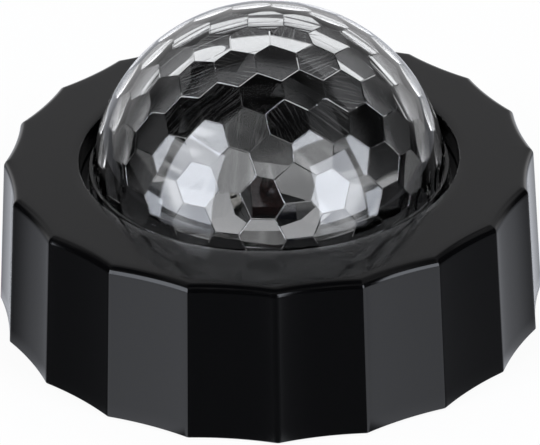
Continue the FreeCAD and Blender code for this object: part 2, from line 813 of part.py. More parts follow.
def make_chassis():
    body = doc.addObject("PartDesign::Body", "chassis_ring")
    disc = ring_sketch(body, "chassis_plate_outline", chassis_bottom, [wall_radius])
    pad(body, "chassis_plate", disc, s.chassis_thickness)
    wall = ring_sketch(body, "chassis_wall_outline", chassis_top - s.join_over,
                       [wall_radius, wall_bore])
    pad(body, "chassis_wall_ring", wall, s.chassis_wall_height + s.join_over)
    parts = [body]
    for n, bearing in enumerate(CHASSIS_SCREW_BEARINGS):
        parts.append(turned_block("chassis_tab_%d" % n, s.tab_reach, s.tab_width, s.chassis_thickness,
                                  boss_circle + s.boss_radius - s.tab_reach, bearing, chassis_bottom))
    for n, bearing in enumerate(DECK_POST_BEARINGS):
        x, y = polar(deck_radius - s.deck_post_inset, bearing)
        parts.append(cylinder("deck_post_%d" % n, s.deck_post_radius, deck_bottom - chassis_top
                              + s.join_over, x, y, chassis_top - s.join_over))
    solid = fuse("chassis_solid", parts)
    over = s.cut_over
    tools = [cylinder("motor_boss_hole", s.motor_boss_radius + s.motor_boss_gap,
                      s.chassis_thickness + over * 2, motor_x, motor_y, chassis_bottom - over)]
    for n, bearing in enumerate(CHASSIS_SCREW_BEARINGS):
        x, y = polar(boss_circle, bearing)
        tools.append(cylinder("chassis_hole_%d" % n, screw_hole, s.chassis_thickness + over * 2,
                              x, y, chassis_bottom - over))
    for n, (x, y) in enumerate(ear_places()):
        tools.append(cylinder("ear_hole_%d" % n, small_screw_hole, s.chassis_thickness + over * 2,
                              x, y, chassis_bottom - over))
    for n, bearing in enumerate(DECK_POST_BEARINGS):
        x, y = polar(deck_radius - s.deck_post_inset, bearing)
        tools.append(cylinder("deck_hole_%d" % n, small_screw_hole, s.small_screw_length + over * 2,
                              x, y, deck_bottom - s.small_screw_length))
    for n, (x, y) in enumerate(board_screw_places()):
        tools.append(cylinder("board_hole_%d" % n, small_screw_hole, s.chassis_thickness + over * 2,
                              x, y, chassis_bottom - over))
    for n, side in enumerate((-0.5, 0.5)):
        tools.append(cylinder("lead_hole_%d" % n, s.lead_hole_radius, s.chassis_thickness + over * 2,
                              s.lead_spread * side - plug_x, plug_y, chassis_bottom - over))
    for name, bearing in ROLLER_BEARINGS.items():
        tools.append(radial_rod(name + "_pin_hole", s.pin_radius + s.pin_seat_gap,
                                wall_bore - over, s.chassis_wall + over * 2, bearing))
    return cut("chassis", solid, tools)


def radial_rod(name, radius, start, length, bearing):
    """A rod at the rollers' height that points out along a bearing."""
    x, y = polar(start, bearing)
    aim = Rotation(Vector(0, 0, 1), bearing).multiply(Rotation(Vector(0, 1, 0), 90.0))
    return cylinder(name, radius, length, x, y, roller_axis, aim)


def ear_places():
    """The gearmotor's two screw holes, on a line across its bearing."""
    reach = s.gearbox_radius + s.ear_reach
    places = []
    for side in (-1, 1):
        aside_x, aside_y = polar(reach * side, MOTOR_BEARING - 90.0)
        places.append((body_x + aside_x, body_y + aside_y))
    return places


def board_screw_places():
    reach = s.reflector_bore - s.small_screw_head_radius - s.board_screw_gap
    return [(reach, ZERO), (-reach, ZERO)]


def screwed_disc(name, radius, thickness, bottom):
    """A round plate under the LEDs with clear holes for its two screws."""
    disc = cylinder(name + "_disc", radius, thickness, z=bottom)
    holes = [cylinder("%s_hole_%d" % (name, n), small_screw_hole, thickness + s.cut_over * 2, x, y,
                      bottom - s.cut_over) for n, (x, y) in enumerate(board_screw_places())]
    return cut(name, disc, holes)


def make_roller(name, bearing):
    """A nylon roller that carries the dome's carrier and turns on a radial pin."""
    blank = radial_rod(name + "_blank", s.roller_radius, roller_in, s.roller_width, bearing)
    bore = radial_rod(name + "_bore", s.pin_radius + s.pin_gap, roller_in - s.cut_over,
                      s.roller_width + s.cut_over * 2, bearing)
    return cut(name, blank, [bore])


def make_roller_pins():
    made = []
    start = roller_in - s.pin_tip
    for name, bearing in ROLLER_BEARINGS.items():
        made.append(radial_rod(name + "_pin", s.pin_radius, start, wall_radius - start, bearing))
    return group("roller_pins", made)


def make_gearmotor():
    gearbox = cylinder("gearbox", s.gearbox_radius, s.gearbox_height, body_x, body_y,
                       chassis_bottom - s.gearbox_height)
    can_bottom = chassis_bottom - s.gearbox_height - s.motor_height
    can = cylinder("motor_can", s.motor_radius, s.motor_height + s.join_over, body_x, body_y,
                   can_bottom)
    cap = cylinder("motor_cap", s.motor_cap_radius, s.motor_cap_height + s.join_over, body_x, body_y,
                   can_bottom - s.motor_cap_height)
    boss = cylinder("motor_boss", s.motor_boss_radius, s.chassis_thickness + s.join_over,
                    motor_x, motor_y, chassis_bottom - s.join_over)
    reach = s.gearbox_radius + s.ear_reach
    ears = block("motor_ears", reach * 2, s.ear_width, s.ear_thickness, body_x, body_y,
                 chassis_bottom - s.ear_thickness)
    parts = [gearbox, can, cap, boss, ears]
    for n, (x, y) in enumerate(ear_places()):
        parts.append(cylinder("ear_end_%d" % n, s.ear_width / 2, s.ear_thickness, x, y,
                              chassis_bottom - s.ear_thickness))
    solid = fuse("gearmotor_solid", parts)
    tools = [cylinder("shaft_bore", s.shaft_radius + s.shaft_gap, s.shaft_depth + s.shaft_gap
                      + s.cut_over, motor_x, motor_y, chassis_top - s.shaft_depth - s.shaft_gap)]
    for n, (x, y) in enumerate(ear_places()):
        tools.append(cylinder("ear_bore_%d" % n, small_screw_hole, s.ear_thickness + s.cut_over * 2,
                              x, y, chassis_bottom - s.ear_thickness - s.cut_over))
    return cut("gearmotor", solid, tools)


def involute(base, radius):
    """The turn of an involute's point at a radius, in radians from where it leaves its base circle."""
    if radius <= base:
        return 0.0
    angle = math.acos(base / radius)
    return math.tan(angle) - angle


def gear_shape(teeth, module, thinning, tip_share, root_share, face, phase):
    """A spur gear's solid at the origin, with flanks that follow an involute."""
    pitch = module * teeth / 2
    base = pitch * math.cos(math.radians(PRESSURE_ANGLE))
    tip = pitch + module * tip_share
    root = pitch - module * root_share
    half = math.pi / (2 * teeth) - thinning / (2 * pitch) + involute(base, pitch)
    low = max(root, base)
    flank = [low + (tip - low) * step / FLANK_STEPS for step in range(FLANK_STEPS + 1)]
    side = [(root, half)] if root < base else []
    side += [(radius, half - involute(base, radius)) for radius in flank]
    points = []
    for tooth in range(teeth):
        middle = phase + 2 * math.pi * tooth / teeth
        for radius, away in side:
            points.append(Vector(radius * math.cos(middle - away), radius * math.sin(middle - away), 0))
        for radius, away in reversed(side):
            points.append(Vector(radius * math.cos(middle + away), radius * math.sin(middle + away), 0))
    outline = Part.makePolygon(points + [points[0]])
    return Part.Face(outline).extrude(Vector(0, 0, face))


def make_dome_carrier():
    """The turning ring: the dome's seat, its spigot and rim, and the inner ring gear below it."""
    blank = turned("carrier_blank", [
        (spigot_bore, carrier_bottom), (spigot_bore, flange_top), (spigot_radius, flange_top),
        (spigot_radius, carrier_top), (rim_bore, carrier_top), (rim_bore, flange_top),
        (rim_radius, flange_top), (rim_radius, carrier_bottom), (gear_rim, carrier_bottom),
        (gear_rim, gear_bottom), (gear_pitch - gear_module * 2.0, gear_bottom),
        (gear_pitch - gear_module * 2.0, carrier_bottom)])
    teeth = doc.addObject("Part::Feature", "ring_teeth")
    phase = math.radians(MOTOR_BEARING)
    teeth.Shape = gear_shape(RING_TEETH, gear_module.number, -s.gear_backlash.number,
                             DEDENDUM_SHARE, ADDENDUM_SHARE, s.gear_face.number + s.cut_over.number,
                             phase)
    teeth.Placement = Placement(Vector(0, 0, gear_bottom.number - s.cut_over.number), Rotation())
    tools = [teeth]
    for n, bearing in enumerate(CLAMP_SCREW_BEARINGS):
        x, y = polar(clamp_circle, bearing)
        tools.append(cylinder("clamp_pilot_%d" % n, small_screw_hole,
                              s.small_screw_length - s.clamp_thickness + s.cut_over, x, y,
                              flange_top - s.small_screw_length + s.clamp_thickness))
    return cut("dome_carrier", blank, tools)


def make_drive_pinion():
    """The pinion on the gearmotor's shaft, in mesh with the ring gear."""
    face = s.gear_face - s.pinion_inset * 2
    wheel = doc.addObject("Part::Feature", "pinion_teeth")
    phase = math.radians(MOTOR_BEARING)
    wheel.Shape = gear_shape(PINION_TEETH, gear_module.number, s.gear_backlash.number,
                             ADDENDUM_SHARE, DEDENDUM_SHARE, face.number, phase)
    wheel.Placement = Placement(Vector(motor_x.number, motor_y.number,
                                       gear_bottom.number + s.pinion_inset.number), Rotation())
    hub = cylinder("pinion_hub", s.pinion_hub_radius, s.pinion_hub_height + s.join_over, motor_x,
                   motor_y, gear_bottom + s.pinion_inset - s.pinion_hub_height)
    solid = fuse("pinion_solid", [wheel, hub])
    bore = cylinder("pinion_bore", s.shaft_radius + s.pin_seat_gap,
                    face + s.pinion_hub_height + s.cut_over * 2, motor_x, motor_y,
                    gear_bottom + s.pinion_inset - s.pinion_hub_height - s.cut_over)
    return cut("drive_pinion", solid, [bore])


def make_motor_shaft():
    bottom = chassis_top - s.shaft_depth
    return cylinder("motor_shaft", s.shaft_radius, carrier_bottom - s.pinion_inset - bottom,
                    motor_x, motor_y, bottom)


def geodesic_directions():
    """Unit vectors through the middles of the dome's facets, for the whole ball."""
    corners = [Vector(0, 0, 1)]
    for sign in (1, -1):
        for step in range(5):
            turn = 2 * math.pi * (step + (0 if sign > 0 else 1 / 2)) / 5
            x, y = math.cos(turn), math.sin(turn)
            corners.append(Vector(math.cos(ICOSAHEDRON_RISE) * x, math.cos(ICOSAHEDRON_RISE) * y,
                                  math.sin(ICOSAHEDRON_RISE) * sign))
    corners.append(Vector(0, 0, -1))
    faces = []
    for step in range(5):
        first, second = 1 + step, 1 + (step + 1) % 5
        third, fourth = 6 + step, 6 + (step + 1) % 5
        faces += [(0, first, second), (first, third, second), (second, third, fourth),
                  (11, fourth, third)]
    along, across = FACET_STEPS
    parts = along * along + along * across + across * across
    spread = ICOSAHEDRON_SPREAD
    found = []
    for face in faces:
        first, second, third = [corners[index] for index in face]
        for column in range(-across, along + across + 1):
            for line in range(along + across + 1):
                share_b = (column * (along + across) + line * across) / parts
                share_c = (line * along - column * across) / parts
                share_a = 1 - share_b - share_c
                if min(share_a, share_b, share_c) < -ROUNDING:
                    continue
                point = (first * math.sin(share_a * spread) + second * math.sin(share_b * spread)
                         + third * math.sin(share_c * spread)).normalize()
                if all(point.distanceToPoint(other) > SAME_FACET for other in found):
                    found.append(point)
    aim = Rotation(Vector(0, 0, 1), FACET_BEARING)
    aim = aim.multiply(Rotation(Vector(0, 1, 0), 90.0 - FACET_RISE))
    aim = aim.multiply(Rotation(Vector(0, 0, 1), FACET_SPIN))
    return [aim.multVec(point) for point in found]


def faceted_ball(radius):
    """A closed ball of flat facets, each touching the sphere of the given radius at its middle."""
    middles = geodesic_directions()
    near = NEIGHBOUR_SHARE * math.sqrt(4 * math.pi / len(middles))
    around = []
    for middle in middles:
        around.append([n for n, other in enumerate(middles)
                       if ROUNDING < middle.distanceToPoint(other) < near])
    facets = []
    for index, middle in enumerate(middles):
        side = middle.cross(Vector(0, 0, 1))
        if side.Length < ROUNDING:
            side = Vector(1, 0, 0)
        side.normalize()
        up = side.cross(middle)
        ring = sorted(around[index],
                      key=lambda n: math.atan2(middles[n].dot(up), middles[n].dot(side)))
        kept = [n for n in ring if is_edge_neighbour(middles, index, n, ring)]
        corners = []
        for step, first in enumerate(kept):
            second = kept[(step + 1) % len(kept)]
            corners.append(three_planes(middle, middles[first], middles[second], radius))
        facets.append(Part.Face(Part.makePolygon(corners + [corners[0]])))
    shell = Part.Shell(facets)
    ball = Part.Solid(shell)
    if ball.Volume < 0:
        ball.reverse()
    return ball


def is_edge_neighbour(middles, index, other, ring):
    """Whether two facets share an edge: no third middle lies nearer to the point between them."""
    between = (middles[index] + middles[other]).normalize()
    reach = between.distanceToPoint(middles[index])
    return all(between.distanceToPoint(middles[n]) > reach - ROUNDING for n in ring if n != other)


def three_planes(first, second, third, radius):
    """The point where three planes meet, each at one radius from the origin."""
    volume = first.dot(second.cross(third))
    return (second.cross(third) + third.cross(first) + first.cross(second)) * (radius / volume)


def make_faceted_dome():
    """The clear dome: flat hexagonal facets outside, a smooth bore inside, a skirt and a flange."""
    ball = doc.addObject("Part::Feature", "dome_ball")
    ball.Shape = faceted_ball(s.facet_radius.number)
    ball.Placement = Placement(Vector(0, 0, dome_centre.number), Rotation())
    cap_height = s.facet_radius + s.dome_wall
    cap = cylinder("dome_cap_room", s.facet_radius + s.dome_wall, cap_height, z=dome_centre)
    upper = doc.addObject("Part::Common", "dome_upper")
    upper.Base = ball
    upper.Tool = cap
    skirt = cylinder("dome_skirt", skirt_radius, skirt_top - carrier_top, z=carrier_top)
    flange = cylinder("dome_flange", flange_radius, s.flange_thickness, z=carrier_top)
    solid = fuse("dome_solid", [upper, skirt, flange])
    hollow = doc.addObject("Part::Sphere", "dome_hollow")
    bind(hollow, "Radius", bore_radius)
    hollow.Angle1 = 0
    place(hollow, z=dome_centre)
    bore = cylinder("dome_bore", bore_radius, dome_centre - carrier_top + s.cut_over,
                    z=carrier_top - s.cut_over)
    return cut("faceted_dome", solid, [hollow, bore])


def make_clamp_ring():
    body = turned("clamp_ring_body", [(clamp_bore, flange_top), (clamp_bore, clamp_top),
                                      (rim_radius, clamp_top), (rim_radius, flange_top)])
    holes = [cylinder("clamp_hole_%d" % n, small_screw_hole, s.clamp_thickness + s.cut_over * 2,
                      *polar(clamp_circle, bearing), flange_top - s.cut_over)
             for n, bearing in enumerate(CLAMP_SCREW_BEARINGS)]
    return cut("clamp_ring", body, holes)


def make_deck():
    """The black ring that hides the gears and carries the reflector's lip."""
    inner = reflector_rim - s.reflector_lip
    outer = reflector_rim + s.reflector_lip
    seat = deck_top - s.deck_ledge
    body = turned("deck_body", [(inner, deck_bottom), (inner, seat), (outer, seat),
                                (outer, deck_top), (deck_radius, deck_top),
                                (deck_radius, deck_bottom)])
    holes = [cylinder("deck_screw_hole_%d" % n, small_screw_hole, s.deck_thickness + s.cut_over * 2,
                      *polar(deck_radius - s.deck_post_inset, bearing), deck_bottom - s.cut_over)
             for n, bearing in enumerate(DECK_POST_BEARINGS)]
    return cut("gear_deck", body, holes)


def make_reflector():
    """A chrome dish round the LEDs, hung by its lip in the deck."""
    rim = reflector_rim - s.reflector_lip - s.reflector_gap
    lip = reflector_rim + s.reflector_lip - s.reflector_gap
    seat = deck_top - s.deck_ledge
    top = seat + s.reflector_wall
    low = board_top + s.reflector_lift
    width = rim - s.reflector_bore
    depth = seat - low
    climb = [(s.reflector_bore + width * (step / (len(DISH_SHARES) - 1)), depth * share)
             for step, share in enumerate(DISH_SHARES)]
    under = [(radius, low + rise) for radius, rise in climb]
    inside = [(radius, low + s.reflector_wall + rise) for radius, rise in reversed(climb)]
    return turned("reflector", under + [(lip, seat), (lip, top)] + inside)


def make_leds():
    made = {}
    for name, bearing in LED_BEARINGS.items():
        x, y = polar(s.led_circle, bearing)
        case = block(name + "_case", s.led_width, s.led_width, s.led_height, x, y, board_top)
        lens = doc.addObject("Part::Sphere", name + "_lens")
        bind(lens, "Radius", s.led_lens_radius)
        lens.Angle1 = 0
        place(lens, x, y, led_top - s.join_over)
        made[name] = fuse(name, [case, lens])
    return made


def make_control_parts():
    board = block("control_blank", s.control_length, s.control_width, s.control_thickness, ZERO,
                  control_y, control_bottom)
    holes = [cylinder("control_screw_hole_%d" % n, small_screw_hole, s.control_thickness
                      + s.cut_over * 2, px, py, control_bottom - s.cut_over)
             for n, (px, py) in enumerate(post_places)]
    knob_x = s.switch_place - s.knob_travel / 2
    case = block("switch_case", s.switch_length, s.switch_width, s.switch_height, s.switch_place,
                 control_y, base_top)
    track = block("switch_track", s.knob_length + s.knob_travel + s.knob_gap * 2,
                  s.knob_width + s.knob_gap * 2, s.knob_socket + s.knob_gap + s.cut_over, s.switch_place,
                  control_y, base_top - s.cut_over)
    made = {
        "control_board": cut("control_board", board, holes),
        "driver_chip": block("driver_chip", s.chip_length, s.chip_width, s.chip_height,
                             -s.capacitor_place, control_y, control_top),
        "smoothing_capacitor": cylinder("smoothing_capacitor", s.capacitor_radius,
                                        s.capacitor_height, s.capacitor_place, control_y,
                                        control_top),
        "board_headers": group("board_headers", [
            block("header_%d" % n, s.header_length, s.header_width, s.header_height,
                  plug_x * side, plug_y, control_top)
            for n, side in enumerate((-1, 1))]),
        "slide_switch": cut("slide_switch", case, [track]),
        "switch_knob": block("switch_knob", s.knob_length, s.knob_width,
                             s.base_thickness - s.knob_recess + s.knob_socket, knob_x, control_y,
                             base_bottom + s.knob_recess),
    }
    return made


def run_of_lead(points):
    """A round lead that follows straight runs between points, with rounded bends."""
    radius = s.lead_radius.number
    places = [Vector(*[as_measure(value).number for value in point]) for point in points]
    pieces = []
    for start, end in zip(places, places[1:]):
        pieces.append(Part.makeCylinder(radius, (end - start).Length, start, end - start))
    pieces += [Part.makeSphere(radius, place) for place in places[1:-1]]
    return pieces[0].multiFuse(pieces[1:])


def make_leads():
    """Three pairs of leads: cells to board, board to motor, and board to LEDs."""
    pairs = {"battery_leads": [], "motor_leads": [], "led_leads": []}
    wall_y = -(bay_width / 2 + s.bay_wall)
    battery_end_y = plug_y + s.lead_radius
    motor_end_y = plug_y - s.lead_radius * 2
    motor_side = bay_length / 2 + s.motor_lead_swing
    motor_start = body_x + s.motor_radius
    for side in (-0.5, 0.5):
        shift = s.lead_spread * side
        battery_x = s.battery_lead_place + shift
        battery_end = plug_x + shift
        battery_z = plug_top + s.battery_lead_lift - shift
        pairs["battery_leads"].append(run_of_lead([
            (battery_x, wall_y, battery_z), (battery_x, wall_y - s.lead_stand_off, battery_z),
            (battery_end, battery_end_y, battery_z), (battery_end, battery_end_y, plug_top)]))
        motor_end = plug_x - shift
        motor_z = chassis_bottom - s.gearbox_height - s.motor_lead_drop + shift
        pairs["motor_leads"].append(run_of_lead([
            (motor_start, body_y, motor_z), (motor_start + s.lead_stand_off, body_y, motor_z),
            (motor_side, body_y - s.motor_radius, motor_z), (motor_side, motor_end_y, motor_z),
            (motor_end, motor_end_y, plug_top + s.motor_lead_lift + shift),
            (motor_end, motor_end_y, plug_top)]))
        led_x = shift - plug_x
        reach = math.hypot(led_x.number, plug_y.number)
        share = s.board_radius.number / reach
        pairs["led_leads"].append(run_of_lead([
            (led_x, plug_y, plug_top), (led_x, plug_y, led_lead_z),
            (led_x * share, plug_y * share, led_lead_z)]))
    made = {}
    for name, runs in pairs.items():
        made[name] = doc.addObject("Part::Feature", name)
        made[name].Shape = Part.makeCompound(runs)
    return made


def build():
    """Makes every piece, and returns them by node name."""
    nodes = {
        "drum_housing": make_drum_housing(),
        "base_cover": make_base_cover(),
        "battery_door": make_battery_door(),
        "rubber_feet": make_feet(),
        "aa_cells": make_cells(),
        "plus_contacts": make_plus_contacts(),
        "minus_contacts": make_minus_contacts(),
        "chassis": make_chassis(),
        "gearmotor": make_gearmotor(),
        "motor_shaft": make_motor_shaft(),
        "drive_pinion": make_drive_pinion(),
        "dome_carrier": make_dome_carrier(),
        "faceted_dome": make_faceted_dome(),
        "clamp_ring": make_clamp_ring(),
        "roller_pins": make_roller_pins(),
        "gear_deck": make_deck(),
        "reflector": make_reflector(),
        "heat_spreader": screwed_disc("heat_spreader", s.spreader_radius, s.spreader_thickness,
                                      chassis_top),
        "led_board": screwed_disc("led_board", s.board_radius, s.board_thickness, spreader_top),
    }
    for name, bearing in ROLLER_BEARINGS.items():
        nodes[name] = make_roller(name, bearing)
    nodes.update(make_leds())
    nodes.update(make_control_parts())
    nodes.update(make_leads())
    nodes["base_screws"] = screws("base_screws", BASE_SCREW_BEARINGS, boss_circle,
                                  base_bottom + s.screw_head_height, SCREW, True)
    nodes["chassis_screws"] = screws("chassis_screws", CHASSIS_SCREW_BEARINGS, boss_circle,
                                     chassis_bottom, SCREW, True)
    nodes["clamp_screws"] = screws("clamp_screws", CLAMP_SCREW_BEARINGS, clamp_circle, clamp_top,
                                   SMALL_SCREW, False)
    nodes["deck_screws"] = screws("deck_screws", DECK_POST_BEARINGS, deck_radius - s.deck_post_inset,
                                  deck_top, SMALL_SCREW, False)
    nodes["motor_screws"] = screws("motor_screws", (), ZERO, chassis_top, SMALL_SCREW, False,
                                   ear_places())
    nodes["board_screws"] = screws("board_screws", (), ZERO, board_top, SMALL_SCREW, False,
                                   board_screw_places())
    nodes["control_screws"] = screws("control_screws", (), ZERO, control_top, SMALL_SCREW, False,
                                     post_places)
    return nodes


def export(nodes):
    """Checks every object and every piece, then writes one STEP file for each piece."""
    doc.recompute()
    for item in doc.Objects:
        if "Invalid" in item.State or "Error" in item.State:
            raise RuntimeError("failed: %s %s" % (item.Name, item.State))
    for name, item in nodes.items():
        item.Label = name
        if item.Shape.isNull() or not item.Shape.isValid():
            raise RuntimeError("bad shape: " + name)
    os.makedirs("parts", exist_ok=True)
    for name, item in nodes.items():
        item.Shape.exportStep("parts/%s.step" % name)
        print(name, len(item.Shape.Solids), round(item.Shape.Volume, 1))


export(build())
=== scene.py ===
import json
import math

import bmesh
import bpy
from mathutils import Matrix, Vector


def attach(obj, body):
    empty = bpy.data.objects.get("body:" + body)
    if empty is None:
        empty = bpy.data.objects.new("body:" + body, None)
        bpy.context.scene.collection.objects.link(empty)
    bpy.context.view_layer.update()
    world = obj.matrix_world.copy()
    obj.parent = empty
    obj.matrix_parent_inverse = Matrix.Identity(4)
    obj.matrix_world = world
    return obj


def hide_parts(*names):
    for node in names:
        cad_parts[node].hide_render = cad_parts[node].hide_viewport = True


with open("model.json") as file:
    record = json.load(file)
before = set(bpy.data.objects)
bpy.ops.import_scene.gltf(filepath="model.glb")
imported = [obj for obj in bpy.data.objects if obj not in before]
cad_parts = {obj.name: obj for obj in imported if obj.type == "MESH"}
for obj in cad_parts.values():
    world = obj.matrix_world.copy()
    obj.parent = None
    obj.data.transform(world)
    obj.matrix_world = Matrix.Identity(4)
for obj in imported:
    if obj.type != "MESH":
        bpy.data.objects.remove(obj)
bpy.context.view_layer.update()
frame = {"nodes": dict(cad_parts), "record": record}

# A led party light: a fluted gloss drum, and a clear dome, smooth outside and faceted inside, over
# a chrome dish with three LEDs. Metres, +Z up, with the drum's axis at the origin.

MM = 0.001
BODY_OF = {node: body for body, nodes in frame["record"]["behaviour"]["bodies"].items()
           for node in nodes}


# Node graphs, written as sums and calls

class Value:
    """An output socket that sums and products can be written with."""

    def __init__(self, graph, socket):
        self.graph = graph
        self.socket = socket

    def __add__(self, other):
        return self.graph.math("ADD", self, other)

    def __radd__(self, other):
        return self.graph.math("ADD", other, self)

    def __sub__(self, other):
        return self.graph.math("SUBTRACT", self, other)

    def __rsub__(self, other):
        return self.graph.math("SUBTRACT", other, self)

    def __mul__(self, other):
        return self.graph.math("MULTIPLY", self, other)

    def __rmul__(self, other):
        return self.graph.math("MULTIPLY", other, self)

    def __truediv__(self, other):
        return self.graph.math("DIVIDE", self, other)

    def __rtruediv__(self, other):
        return self.graph.math("DIVIDE", other, self)

    def __neg__(self):
        return self.graph.math("MULTIPLY", self, -1.0)

    def __abs__(self):
        return self.graph.math("ABSOLUTE", self)

    def __gt__(self, other):
        return self.graph.math("GREATER_THAN", self, other)

    def __lt__(self, other):
        return self.graph.math("LESS_THAN", self, other)


class Made:
    """A node whose outputs are read as values, by name or number."""

    def __init__(self, graph, node):
        self.graph = graph
        self.node = node

    def __getitem__(self, key):
        return Value(self.graph, self.node.outputs[key])


class Graph:
    """A node tree that is filled in by calls."""

    def __init__(self, tree):
        self.tree = tree

    def add(self, kind, settings=None, sockets=None):
        """A node of a type, with its settings made first and then its sockets filled or linked."""
        node = self.tree.nodes.new(kind)
        for name, value in (settings or {}).items():
            setattr(node, name, value)
        for name, value in (sockets or {}).items():
            for each in value if isinstance(value, list) else [value]:
                if isinstance(each, Value):
                    self.tree.links.new(each.socket, node.inputs[name])
                else:
                    node.inputs[name].default_value = each
        return Made(self, node)

    def math(self, operation, *values):
        return self.add("ShaderNodeMath", {"operation": operation},
                        dict(enumerate(values)))["Value"]

    def fade(self, value, start, end, low=0.0, high=1.0):
        """Goes smoothly from low to high as a value goes from start to end."""
        return self.add("ShaderNodeMapRange", {"interpolation_type": "SMOOTHSTEP"}, {
            "Value": value, "From Min": start, "From Max": end, "To Min": low,
            "To Max": high})["Result"]

    def window(self, value, low, high, soft):
        """One between low and high, and zero outside, with soft edges."""
        rise = self.fade(value, low - soft, low + soft)
        return rise * self.fade(value, high - soft, high + soft, 1.0, 0.0)

    def blend(self, factor, first, second):
        """A colour between two colours."""
        return self.add("ShaderNodeMix", {"data_type": "RGBA"},
                        {0: factor, 6: first, 7: second})[2]

    def parts_of(self, vector):
        split = self.add("ShaderNodeSeparateXYZ", {}, {"Vector": vector})
        return split["X"], split["Y"], split["Z"]

    def vector(self, x, y, z):
        return self.add("ShaderNodeCombineXYZ", {}, {"X": x, "Y": y, "Z": z})["Vector"]


def rgb(red, green, blue):
    return (red, green, blue, 1.0)


class Finish(Graph):
    """A material with one surface shader. What is the same all over is set on its sockets."""

    def __init__(self, name, **constants):
        self.material = bpy.data.materials.new(name)
        self.material.use_nodes = True
        super().__init__(self.material.node_tree)
        self.tree.nodes.clear()
        self.shader = self.add("ShaderNodeBsdfPrincipled")
        for socket, value in constants.items():
            self.feed(socket.replace("_", " "), value)
        self.add("ShaderNodeOutputMaterial", {}, {"Surface": self.shader["BSDF"]})
        self.place = self.add("ShaderNodeTexCoord")["Object"]

    def feed(self, socket, value):
        if isinstance(value, Value):
            self.tree.links.new(value.socket, self.shader.node.inputs[socket])
        else:
            self.shader.node.inputs[socket].default_value = value
        return self

    def noise(self, scale, detail=2.0, rough=0.5, stretch=(1.0, 1.0, 1.0)):
        """Cloudy noise from 0 to 1, with a scale in patches to the metre."""
        where = self.add("ShaderNodeMapping", {}, {"Vector": self.place, "Scale": stretch})
        return self.add("ShaderNodeTexNoise", {}, {
            "Vector": where["Vector"], "Scale": scale, "Detail": detail, "Roughness": rough})[0]

    def emboss(self, height, depth, strength=1.0):
        """Feeds a bump of a depth in metres to the surface's normal."""
        bump = self.add("ShaderNodeBump", {}, {
            "Height": height, "Distance": depth, "Strength": strength})
        return self.feed("Normal", bump["Normal"])


def plastic(name, dark, light, rough, grain, depth, spread=0.04, **constants):
    """Moulded plastic: cloudy colour and gloss, and a fine grain of a scale and a depth."""
    finish = Finish(name, **constants)
    cloud = finish.noise(60.0, 3.0)
    finish.feed("Base Color", finish.blend(cloud, dark, light))
    finish.feed("Roughness", rough + (cloud - 0.5) * spread + (finish.noise(grain) - 0.5) * spread)
    finish.emboss(finish.noise(grain, 4.0, 0.6), depth)
    return finish.material


def metal(name, dark, light, rough, stretch):
    """Bare or plated metal with fine drawn lines along the axis that has the small share."""
    finish = Finish(name, Metallic=1.0)
    lines = finish.noise(700.0, 3.0, 0.6, stretch)
    finish.feed("Base Color", finish.blend(finish.noise(150.0, 3.0), dark, light))
    finish.feed("Roughness", rough + (lines - 0.5) * 0.12)
    finish.emboss(lines, 0.00001)
    return finish.material


# Finishes

def drum_gloss():
    """Polished black moulding: nearly mirror smooth, with the faint waviness of a mould."""
    finish = Finish("drum_gloss_black", IOR=1.5)
    cloud = finish.noise(35.0, 3.0)
    fine = finish.noise(2600.0, 2.0, 0.6)
    finish.feed("Base Color", finish.blend(cloud, rgb(0.0006, 0.0006, 0.0008),
                                           rgb(0.0012, 0.0012, 0.0015)))
    finish.feed("Roughness", 0.115 + (cloud - 0.5) * 0.03 + (fine - 0.5) * 0.03)
    finish.emboss(finish.noise(45.0, 1.0) + fine * 0.02, 0.00002)
    return finish.material


def dome_clear():
    """Clear polished plastic with the faintest haze from the mould."""
    finish = Finish("dome_clear_plastic", IOR=1.59, Transmission_Weight=1.0)
    cloud = finish.noise(40.0, 2.0)
    finish.feed("Base Color", finish.blend(cloud, rgb(0.955, 0.965, 0.975), rgb(0.97, 0.98, 0.99)))
    finish.feed("Roughness", 0.012 * cloud)
    finish.emboss(finish.noise(90.0, 1.0), 0.000004)
    return finish.material


def dish_chrome():
    """Vacuum plating on a moulded dish with a little orange peel. The lip is black, not metal."""
    finish = Finish("dish_chrome", Specular_IOR_Level=0.18)
    cloud = finish.noise(120.0, 3.0)
    x, y, z = finish.parts_of(finish.place)
    # One within the dish's rim, zero on the lip beyond it, which is made black and not metal.
    inside_rim = finish.fade(finish.math("SQRT", x * x + y * y), 0.0280, 0.0283, 1.0, 0.0)
    bright = finish.blend(cloud, rgb(0.56, 0.555, 0.545), rgb(0.64, 0.635, 0.625))
    finish.feed("Base Color", finish.blend(inside_rim, rgb(0.003, 0.003, 0.0035), bright))
    finish.feed("Metallic", inside_rim)
    finish.feed("Roughness", 0.08 + cloud * 0.04)
    finish.emboss(finish.noise(320.0, 1.0), 0.00001)
    return finish.material


def board_mask(name, mask, track):
    """Solder mask over copper: tracks show as a lighter, raised grid with soft edges."""
    finish = Finish(name, Coat_Weight=0.4, Coat_Roughness=0.2)
    x, y, z = finish.parts_of(finish.place)
    lanes = finish.window(finish.math("PINGPONG", x + y * 0.35, 0.0011), 0.0004, 0.0008, 0.00005)
    breaks = finish.noise(380.0, 0.0) > 0.5
    copper = lanes * breaks
    finish.feed("Base Color", finish.blend(copper, mask, track))
    finish.feed("Roughness", 0.38 - copper * 0.08 + (finish.noise(900.0) - 0.5) * 0.1)
    finish.emboss(copper, 0.00004)
    return finish.material


def led_finish(name, lens, glow):
    """A smoked, lightly clouded lens over an unlit LED."""
    finish = Finish(name, Transmission_Weight=0.35, IOR=1.5, Coat_Weight=0.5)
    cloud = finish.noise(900.0, 2.0)
    finish.feed("Base Color", finish.blend(cloud, lens, glow))
    finish.feed("Roughness", 0.16 + cloud * 0.12)
    return finish.material


